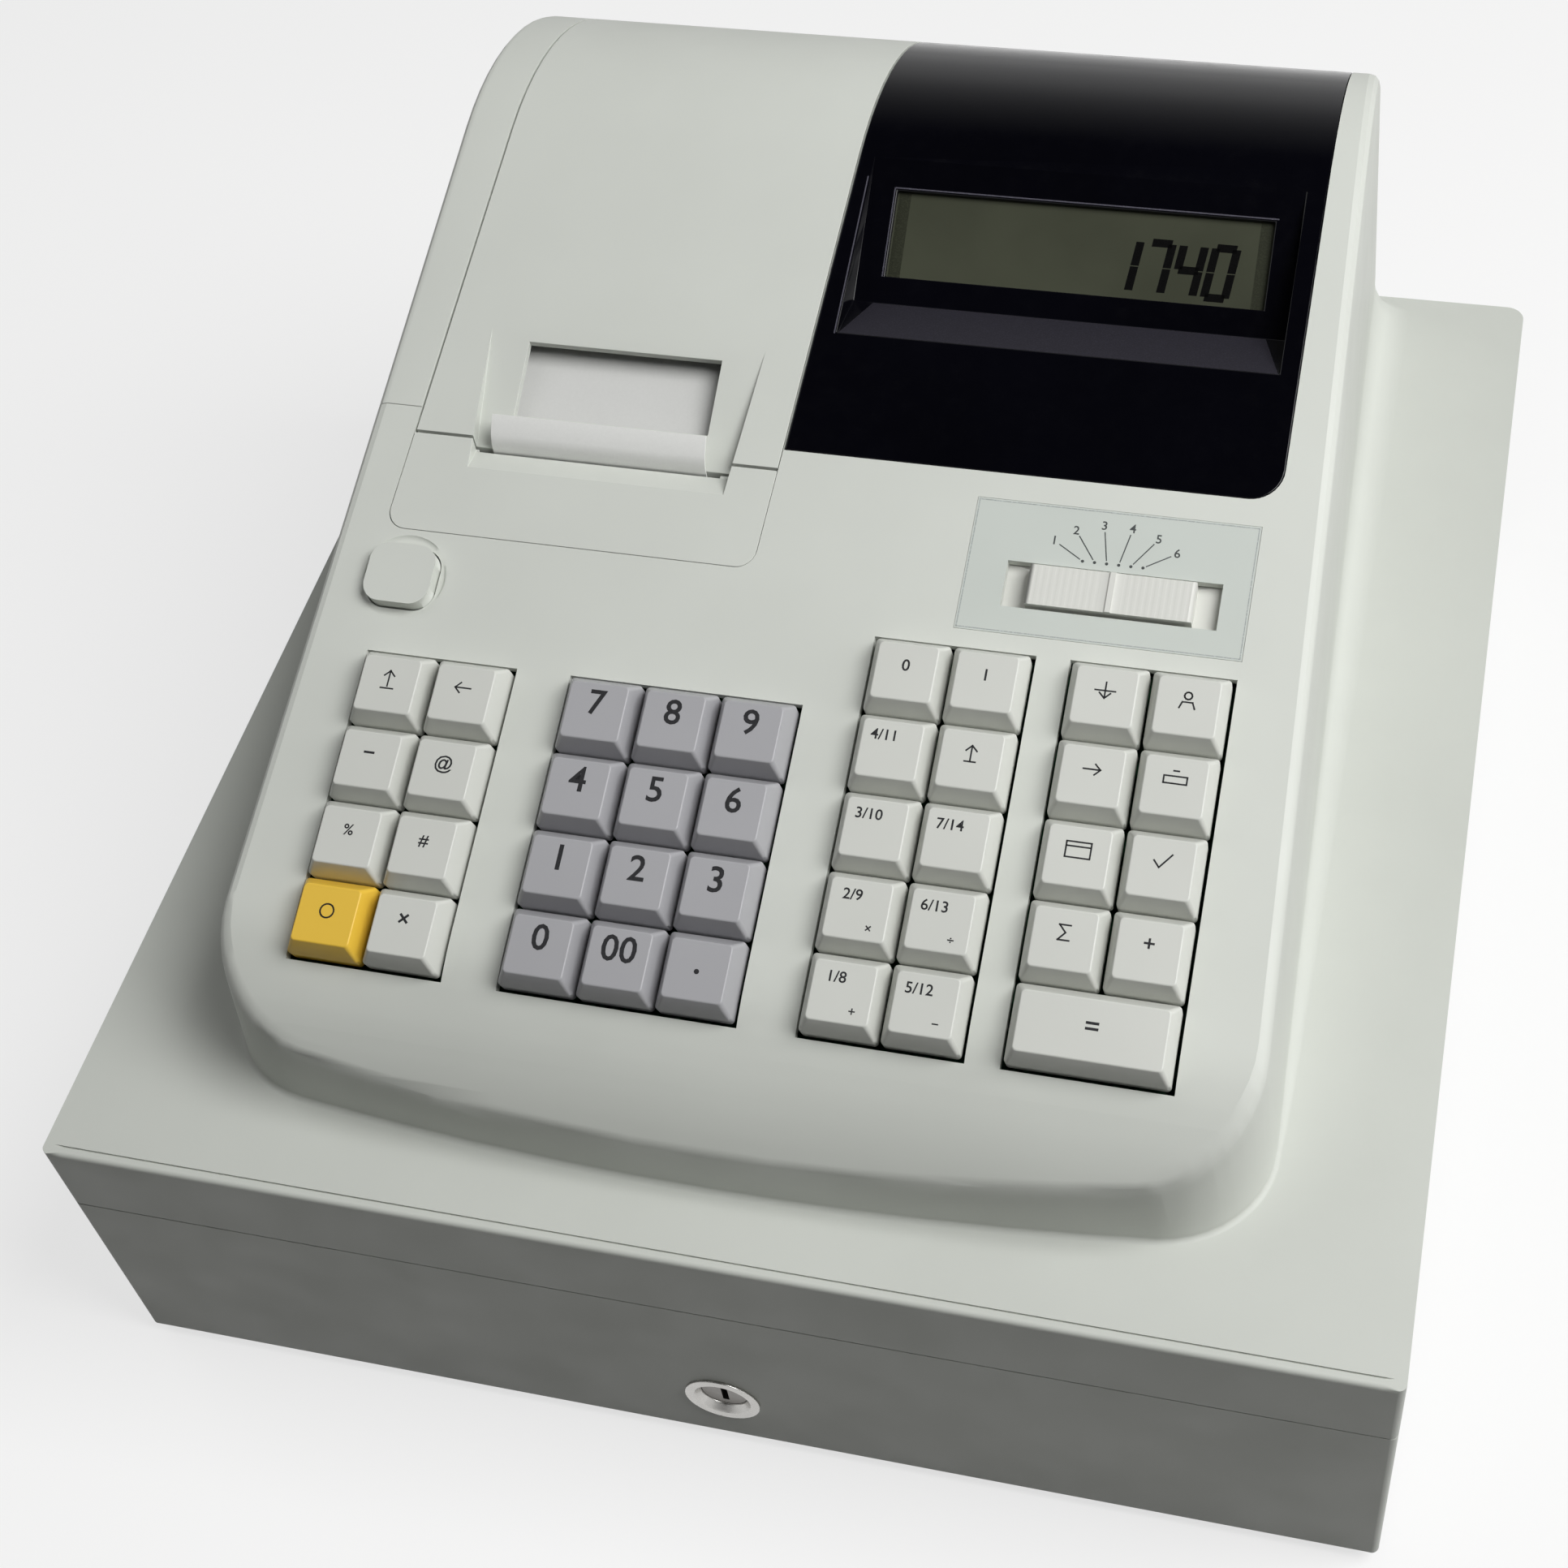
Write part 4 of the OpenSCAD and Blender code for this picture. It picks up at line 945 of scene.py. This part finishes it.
@dataclass
class Display:
    """The glossy bezel and the two displays in it."""

    shop: Workshop
    number: str = "1740"
    recess_depth: float = 9 * MM
    recess_top: float = 92 * MM
    recess_foot: float = 54.5 * MM
    glass_bottom: float = 61.5 * MM
    glass_level: float = -1.6 * MM
    glass_left: float = 1.4 * MM
    glass_right: float = 99.1 * MM
    glass_top: float = 83.8 * MM
    recess_left: float = -6 * MM
    recess_right: float = 106 * MM
    recess_front: float = 40 * MM
    ledge_taper: float = 5.0 * MM
    line: float = 0.35 * MM
    digit_right: float = 88.6 * MM
    digit_foot: float = 2.4 * MM
    digit_pitch: float = 8.2 * MM
    digit_width: float = 5.3 * MM
    digit_height: float = 13.0 * MM
    digit_stroke: float = 2.1 * MM
    digit_slant: float = 0.12
    # The width of the painted shade at each end of the glass.
    end_band: float = 3.2 * MM

    def build(self) -> None:
        """Builds the bezel with its printed lines, the displays and the operator's digits."""
        self.shop.dress("display_bezel", BEZEL, 0.35 * MM)
        self.shop.dress("lcd_panels", LCD, 0.0)
        self.digits()
        self.end_bands()
        self.frame_lines()
        self.ledge()

    def floor_matrix(self) -> Matrix:
        """Returns the place of the recess' floor: X across, Y up it from the glass' lower edge, Z out."""
        span = self.recess_top - self.recess_foot
        sunk = self.recess_depth * (self.recess_top - self.glass_bottom) / span
        tilt = Matrix.Rotation(math.atan2(self.recess_depth, span), 4, "X")
        return PANEL.matrix() @ Matrix.Translation((0, self.glass_bottom, -sunk)) @ tilt

    def glass_matrix(self) -> Matrix:
        """Returns the place of the operator's glass: X across, Y up it from its lower edge, Z out of it."""
        return self.floor_matrix() @ Matrix.Translation((0, 0, self.glass_level))

    def end_bands(self) -> None:
        """Lays painted shade as dark bands at both ends of the operator's glass."""
        mesh = bmesh.new()
        high = (self.glass_top - self.glass_bottom) * 1.02
        for start in (self.glass_left + 0.3 * MM, self.glass_right - 0.3 * MM - self.end_band):
            add_box(mesh, (start, 0.3 * MM, PRINT_DEPTH[0]), (start + self.end_band, high, PRINT_DEPTH[1]))
        bmesh.ops.transform(mesh, matrix=self.glass_matrix(), verts=mesh.verts)
        self.shop.place("display_end_bands", mesh, LCD_END_SHADE, "root", crease=20.0)

    def frame_lines(self) -> None:
        """Draws the fine pale lines beside the glass and along the recess' left edge."""
        mesh = bmesh.new()
        high = (self.glass_top - self.glass_bottom) / math.cos(math.atan2(self.recess_depth,
                                                                          self.recess_top - self.recess_foot))
        left, right, out = self.glass_left, self.glass_right, 0.7 * MM
        add_stroke(mesh, (left - out, 0.0), (left - out, high + out), self.line, PRINT_DEPTH)
        add_stroke(mesh, (left - out, high + out), (right + out, high + out), self.line, PRINT_DEPTH)
        bmesh.ops.transform(mesh, matrix=self.floor_matrix(), verts=mesh.verts)
        side = bmesh.new()
        edge = self.recess_left - 0.6 * MM
        add_stroke(side, (edge, self.recess_front), (edge, self.recess_top - 6 * MM), self.line, PRINT_DEPTH)
        bmesh.ops.transform(side, matrix=PANEL.matrix(), verts=side.verts)
        joined = bpy.data.meshes.new("line")
        side.to_mesh(joined)
        side.free()
        mesh.from_mesh(joined)
        bpy.data.meshes.remove(joined)
        self.shop.place("display_lines", mesh, FRAME_LINE, "root", crease=20.0)

    def ledge(self) -> None:
        """Lays the matt film on the recess' sloping front ledge, narrower at its foot."""
        run = self.recess_foot - self.recess_front
        length = math.hypot(run, self.recess_depth)
        mesh = bmesh.new()
        low = (self.recess_left + 0.4 * MM, 0.3 * MM, PRINT_DEPTH[0])
        high = (self.recess_right - 0.4 * MM, length - 0.3 * MM, PRINT_DEPTH[1])
        middle = (low[0] + high[0]) / 2
        for vertex in add_box(mesh, low, high):
            if vertex.co.y > length / 2:
                vertex.co.x -= math.copysign(self.ledge_taper, vertex.co.x - middle)
        place = Matrix.Translation((0, self.recess_front, 0))
        place @= Matrix.Rotation(-math.atan2(self.recess_depth, run), 4, "X")
        bmesh.ops.transform(mesh, matrix=PANEL.matrix() @ place, verts=mesh.verts)
        self.shop.place("display_ledge", mesh, LEDGE, "root", crease=20.0)

    def digits(self) -> None:
        """Draws the number on the operator's glass in slanted seven-part digits."""
        lit = {"0": "abcdef", "1": "bc", "4": "bcfg", "7": "abc"}
        half = self.digit_height / 2
        ends = {"a": ((0, 2), (1, 2)), "b": ((1, 1), (1, 2)), "c": ((1, 0), (1, 1)), "d": ((0, 0), (1, 0)),
                "e": ((0, 0), (0, 1)), "f": ((0, 1), (0, 2)), "g": ((0, 1), (1, 1))}
        mesh = bmesh.new()
        for place, digit in enumerate(reversed(self.number)):
            left = self.digit_right - self.digit_width - place * self.digit_pitch
            for part in lit[digit]:
                start, end = (Vector((left + x * self.digit_width, self.digit_foot + y * half))
                              for x, y in ends[part])
                gap = (end - start).normalized() * self.digit_stroke * 0.56
                add_stroke(mesh, tuple(start + gap), tuple(end - gap), self.digit_stroke, PRINT_DEPTH)
        lean = Matrix.Identity(4)
        lean[0][1] = self.digit_slant
        bmesh.ops.transform(mesh, matrix=self.glass_matrix() @ lean, verts=mesh.verts)
        self.shop.place("display_digits", mesh, SEGMENT, "root", crease=20.0)


@dataclass
class ModeSwitch:
    """The sliding mode switch in its printed plate, with a fan of numbered leader lines."""

    shop: Workshop
    rib_foot: float = 3.0 * MM
    rib_top: float = 3.6 * MM
    rib_share: float = 0.12
    low_share: float = 0.4
    dot_row: float = -15.0 * MM
    first_dot: float = 66.1 * MM
    dot_pitch: float = 2.94 * MM
    dot_radius: float = 0.4 * MM
    line: float = 0.28 * MM
    number_height: float = 2.3
    fan: tuple[tuple[float, float], ...] = ((58.5, -10.4), (63.4, -7.2), (70.0, -5.2), (76.9, -5.2),
                                            (83.5, -7.2), (88.4, -10.4))

    def build(self) -> None:
        """Builds the plate, its print and the slider."""
        self.shop.dress("mode_plate", PLATE, 0.0)
        self.print_plate()
        self.slider()

    def print_plate(self) -> None:
        """Prints the plate's edge line, and a dot, a leader line and a number for each position."""
        low, high = PANEL.local_box(self.shop.frame["nodes"]["mode_plate"])
        level = Matrix.Translation((0, 0, high.z))
        edge = bmesh.new()
        inset = 0.5 * MM
        corners_of = [(low.x + inset, low.y + inset), (high.x - inset, low.y + inset),
                      (high.x - inset, high.y - inset), (low.x + inset, high.y - inset)]
        for start, end in zip(corners_of, corners_of[1:] + corners_of[:1]):
            add_stroke(edge, start, end, self.line, PRINT_DEPTH)
        bmesh.ops.transform(edge, matrix=PANEL.matrix() @ level, verts=edge.verts)
        self.shop.place("mode_plate_edge", edge, PLATE_EDGE, "root", crease=20.0)
        mesh = bmesh.new()
        for place, (across, up) in enumerate(self.fan):
            dot = Vector((self.first_dot + place * self.dot_pitch, self.dot_row))
            number = Vector((across * MM, up * MM))
            way = (number - dot).normalized()
            add_dot(mesh, tuple(dot), self.dot_radius, PRINT_DEPTH)
            add_stroke(mesh, tuple(dot + way * 0.9 * MM), tuple(number - way * 1.7 * MM), self.line, PRINT_DEPTH)
        bmesh.ops.transform(mesh, matrix=PANEL.matrix() @ level, verts=mesh.verts)
        for place, (across, up) in enumerate(self.fan):
            at = Matrix.Translation((across * MM, up * MM, high.z))
            add_sign(mesh, Legend(str(place + 1), self.number_height), PANEL.matrix() @ at)
        self.shop.place("mode_plate_print", mesh, PLATE_LINE, "root", crease=20.0)

    def slider(self) -> None:
        """Builds the slider, low on its plate and with shallow finger ribs."""
        mesh = self.shop.solid("mode_slider")
        bmesh.ops.transform(mesh, matrix=PANEL.matrix().inverted(), verts=mesh.verts)
        for vertex in mesh.verts:
            if self.rib_foot < vertex.co.z < self.rib_top:
                vertex.co.z = self.rib_top - (self.rib_top - vertex.co.z) * self.rib_share
        bmesh.ops.transform(mesh, matrix=PANEL.matrix(), verts=mesh.verts)
        flatten(mesh, self.low_share)
        self.shop.place("mode_slider_finished", mesh, KNOB, self.shop.bodies["mode_slider"], ["mode_slider"])


@dataclass
class Keyboard:
    """The keys, which are hollow caps with rounded corners, and the board below them."""

    shop: Workshop
    straight_top: float = 1.6 * MM
    low: float = -2.4 * MM
    inset_x: float = 1.925 * MM
    inset_y: float = 2.325 * MM
    corner: float = 1.0 * MM
    rim: float = 0.3 * MM
    wall: float = 1.2 * MM
    stem_radius: float = 2.2 * MM
    stem_spread: float = 19.35 * MM

    def build(self) -> None:
        """Builds every key, its legend and the board."""
        finishes = {"key_white": KEY_WHITE, "key_blue": KEY_BLUE, "key_yellow": KEY_YELLOW}
        slots = {part["node"]: part["material_slot"] for part in self.shop.frame["record"]["subparts"]}
        for node in sorted(self.shop.bodies):
            if node.startswith("key_"):
                self.build_key(node, finishes.get(slots.get(node, ""), KEY_WHITE))
        self.shop.dress("keyboard_board", BOARD, 0.0)

    def build_key(self, node: str, finish: Finish) -> None:
        """Builds one key's cap and stem.

        Args:
            node: The key's node.
            finish: Its finish.
        """
        low, high = PANEL.local_box(self.shop.frame["nodes"][node])
        mesh = bmesh.new()
        add_box(mesh, (low.x, low.y, self.low), high)
        geometry = mesh.verts[:] + mesh.edges[:] + mesh.faces[:]
        bmesh.ops.bisect_plane(mesh, geom=geometry, plane_co=(0, 0, self.straight_top), plane_no=(0, 0, 1))
        middle = (low + high) / 2
        width, depth = high.x - low.x, high.y - low.y
        top = [vertex for vertex in mesh.verts if vertex.co.z > high.z - 0.01 * MM]
        narrow = Matrix.Diagonal((1 - 2 * self.inset_x / width, 1 - 2 * self.inset_y / depth, 1.0))
        bmesh.ops.transform(mesh, matrix=narrow.to_4x4(), verts=top, space=Matrix.Translation(-middle))
        corners = [edge for edge in mesh.edges
                   if abs(edge.verts[0].co.z - edge.verts[1].co.z) > self.straight_top / 2]
        bmesh.ops.bevel(mesh, geom=corners, offset=self.corner, offset_type="OFFSET", affect="EDGES", segments=4,
                        profile=0.5, clamp_overlap=False, material=-1)
        rims = [edge for edge in mesh.edges
                if all(vertex.co.z > high.z - 0.01 * MM for vertex in edge.verts)]
        bmesh.ops.bevel(mesh, geom=rims, offset=self.rim, offset_type="OFFSET", affect="EDGES", segments=3,
                        profile=0.5, clamp_overlap=False, material=-1)
        self.hollow(mesh, high.z)
        reach = self.stem_spread / 2 if width > 30 * MM else 0.0
        for across in sorted({-reach, 0.0, reach}):
            foot = low.z if across == 0.0 else low.z + 2 * MM
            centre = Vector((middle.x + across, middle.y, (foot + high.z - 1 * MM) / 2))
            bmesh.ops.create_cone(mesh, cap_ends=True, segments=20, radius1=self.stem_radius,
                                  radius2=self.stem_radius, depth=high.z - 1 * MM - foot,
                                  matrix=Matrix.Translation(centre))
        bmesh.ops.transform(mesh, matrix=PANEL.matrix(), verts=mesh.verts)
        self.shop.place(f"{node}_cap", mesh, finish, self.shop.bodies[node], [node])
        signs = LEGENDS[node] + ((Legend(SIGNS[node], **CORNER),) if node in SIGNS else ())
        self.print_legend(node, signs, Vector((middle.x, middle.y, high.z)))

    def print_legend(self, node: str, signs: Iterable[Legend], top: Vector) -> None:
        """Prints a key's signs on its cap.

        Args:
            node: The key's node.
            signs: What to print.
            top: The middle of the cap's top, in the panel's axes.
        """
        mesh = bmesh.new()
        for sign in signs:
            at = top + Vector((sign.place[0] * MM, sign.place[1] * MM, 0))
            add_sign(mesh, sign, PANEL.matrix() @ Matrix.Translation(at))
        self.shop.place(f"{node}_legend", mesh, LEGEND, self.shop.bodies[node], crease=20.0)

    def hollow(self, mesh: bmesh.types.BMesh, top: float) -> None:
        """Hollows a cap from below.

        Args:
            mesh: The cap.
            top: The height of its top face.
        """
        under = [face for face in mesh.faces
                 if face.normal.z < -0.9 and face.calc_center_median().z < self.low / 2]
        bmesh.ops.inset_region(mesh, faces=under, thickness=self.wall, use_even_offset=True)
        roof = bmesh.ops.extrude_face_region(mesh, geom=under)["geom"]
        verts = [item for item in roof if isinstance(item, bmesh.types.BMVert)]
        bmesh.ops.delete(mesh, geom=under, context="FACES_ONLY")
        bmesh.ops.translate(mesh, vec=(0, 0, top - self.low - 1.6 * MM), verts=verts)
        centre = sum((vertex.co for vertex in verts), Vector()) / len(verts)
        bmesh.ops.scale(mesh, vec=(0.78, 0.75, 1.0), verts=verts, space=Matrix.Translation(-centre))
        bmesh.ops.recalc_face_normals(mesh, faces=mesh.faces)


@dataclass
class Studio:
    """The pale floor, the soft lamps, the white surround and the camera."""

    camera_place: tuple[float, float, float] = (149.775 * MM, -429.480 * MM, 633.93 * MM)
    camera_turn: tuple[float, float, float] = (39.525096, 4.894137, 13.188814)
    focal_pixels: float = 3178.8
    centre_pixel: tuple[float, float] = (1065.6, 874.5)
    sensor: float = 36.0
    floor_size: float = 12.0
    floor_pale: tuple[float, float, float] = (0.85, 0.85, 0.84)
    floor_bounce: tuple[float, float, float] = (0.18, 0.178, 0.172)
    floor_glow: float = 0.7
    lamp_aim: tuple[float, float, float] = (0.0, 0.0, 0.12)
    lamp_size: float = 0.8
    ambient: float = 0.03
    zenith: float = 0.02

    def build(self) -> None:
        """Builds the camera, the floor, the world and the lamps."""
        self.camera()
        self.floor()
        self.world()
        self.lamp("key", (0.75, -0.10, 1.22), 17.6)
        self.lamp("side", (1.20, 0.0, 0.70), 3.2)
        self.lamp("fill", (-0.85, 0.10, 1.15), 2.9)
        bpy.context.scene.view_settings.view_transform = "Standard"

    def camera(self) -> None:
        """Makes the camera and gives it to the scene."""
        data = bpy.data.cameras.new("camera")
        data.sensor_width = self.sensor
        data.lens = self.focal_pixels / FRAME_WIDTH * self.sensor
        data.shift_x = (FRAME_WIDTH / 2 - self.centre_pixel[0]) / FRAME_WIDTH
        data.shift_y = (self.centre_pixel[1] - FRAME_HEIGHT / 2) / FRAME_WIDTH
        data.clip_start = 0.01
        data.clip_end = 50.0
        camera = bpy.data.objects.new("camera", data)
        camera.location = self.camera_place
        camera.rotation_euler = tuple(math.radians(angle) for angle in self.camera_turn)
        bpy.context.scene.collection.objects.link(camera)
        bpy.context.scene.camera = camera

    def lamp(self, name: str, place: tuple[float, float, float], power: float) -> None:
        """Adds a soft square lamp that faces the object.

        Args:
            name: Its name.
            place: Where it hangs.
            power: Its power in watts.
        """
        data = bpy.data.lights.new(name, "AREA")
        data.size = self.lamp_size
        data.energy = power
        lamp = bpy.data.objects.new(name, data)
        lamp.location = place
        lamp.rotation_euler = (Vector(self.lamp_aim) - Vector(place)).to_track_quat("-Z", "Y").to_euler()
        bpy.context.scene.collection.objects.link(lamp)

    def floor(self) -> None:
        """Makes the pale floor, which is white to the camera and keeps the object's shadow."""
        mesh = bmesh.new()
        bmesh.ops.create_grid(mesh, x_segments=1, y_segments=1, size=self.floor_size / 2)
        data = bpy.data.meshes.new("floor")
        mesh.to_mesh(data)
        mesh.free()
        floor = bpy.data.objects.new("floor", data)
        bpy.context.scene.collection.objects.link(floor)
        graph = NodeGraph("floor_paper")
        seen = self.seen_ray(graph)
        graph.feed(graph.shader.inputs["Base Color"], graph.blend(seen, self.floor_bounce, self.floor_pale))
        graph.shader.inputs["Roughness"].default_value = 0.9
        graph.shader.inputs["Specular IOR Level"].default_value = 0.0
        white = graph.add("ShaderNodeEmission", color=(1.0, 1.0, 1.0, 1.0), strength=1.0)
        share = graph.add("ShaderNodeMath")
        share.operation = "MULTIPLY"
        graph.feed(share.inputs[0], seen)
        share.inputs[1].default_value = self.floor_glow
        mixed = graph.tree.nodes.new("ShaderNodeMixShader")
        graph.feed(mixed.inputs[0], share.outputs[0])
        graph.feed(mixed.inputs[1], graph.shader.outputs[0])
        graph.feed(mixed.inputs[2], white.outputs[0])
        graph.feed(graph.tree.nodes["Material Output"].inputs["Surface"], mixed.outputs[0])
        data.materials.append(graph.material)

    def seen_ray(self, graph: NodeGraph) -> bpy.types.NodeSocket:
        """Returns 1 where a camera, glossy or transmission ray looks, and 0 elsewhere."""
        path = graph.tree.nodes.new("ShaderNodeLightPath")
        total = path.outputs["Is Camera Ray"]
        for kind in ("Is Glossy Ray", "Is Transmission Ray"):
            larger = graph.tree.nodes.new("ShaderNodeMath")
            larger.operation = "MAXIMUM"
            graph.feed(larger.inputs[0], total)
            graph.feed(larger.inputs[1], path.outputs[kind])
            total = larger.outputs[0]
        return total

    def world(self) -> None:
        """Makes a dim grey surround whose horizon is white to the camera."""
        world = bpy.data.worlds.new("studio")
        world.use_nodes = True
        bpy.context.scene.world = world
        tree = world.node_tree
        graph = NodeGraph.__new__(NodeGraph)
        graph.tree = tree
        ambient = tree.nodes["Background"]
        ambient.inputs["Color"].default_value = (0.95, 0.97, 1.0, 1.0)
        ambient.inputs["Strength"].default_value = self.ambient
        direction = tree.nodes.new("ShaderNodeTexCoord").outputs["Generated"]
        split = graph.add("ShaderNodeSeparateXYZ", vector=direction)
        height = graph.add("ShaderNodeMapRange", value=split.outputs["Z"], from_min=0.35, from_max=0.85,
                           to_min=1.0, to_max=self.zenith)
        surround = tree.nodes.new("ShaderNodeBackground")
        graph.feed(surround.inputs["Strength"], height.outputs["Result"])
        mixed = tree.nodes.new("ShaderNodeMixShader")
        graph.feed(mixed.inputs[0], self.seen_ray(graph))
        graph.feed(mixed.inputs[1], ambient.outputs[0])
        graph.feed(mixed.inputs[2], surround.outputs[0])
        graph.feed(tree.nodes["World Output"].inputs["Surface"], mixed.outputs[0])


def corners(box: tuple[Vector, Vector]) -> list[list[float]]:
    """Returns a box's two corners as plain lists."""
    return [list(box[0]), list(box[1])]


def main() -> None:
    """Builds the register around its frame."""
    logging.basicConfig(level=logging.INFO, format="%(message)s")
    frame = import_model()
    Studio().build()
    shop = Workshop(frame)
    for assembly in (DrawerCase, Console, Printer, Display, ModeSwitch, Keyboard):
        assembly(shop).build()


if __name__ == "__main__":
    main()
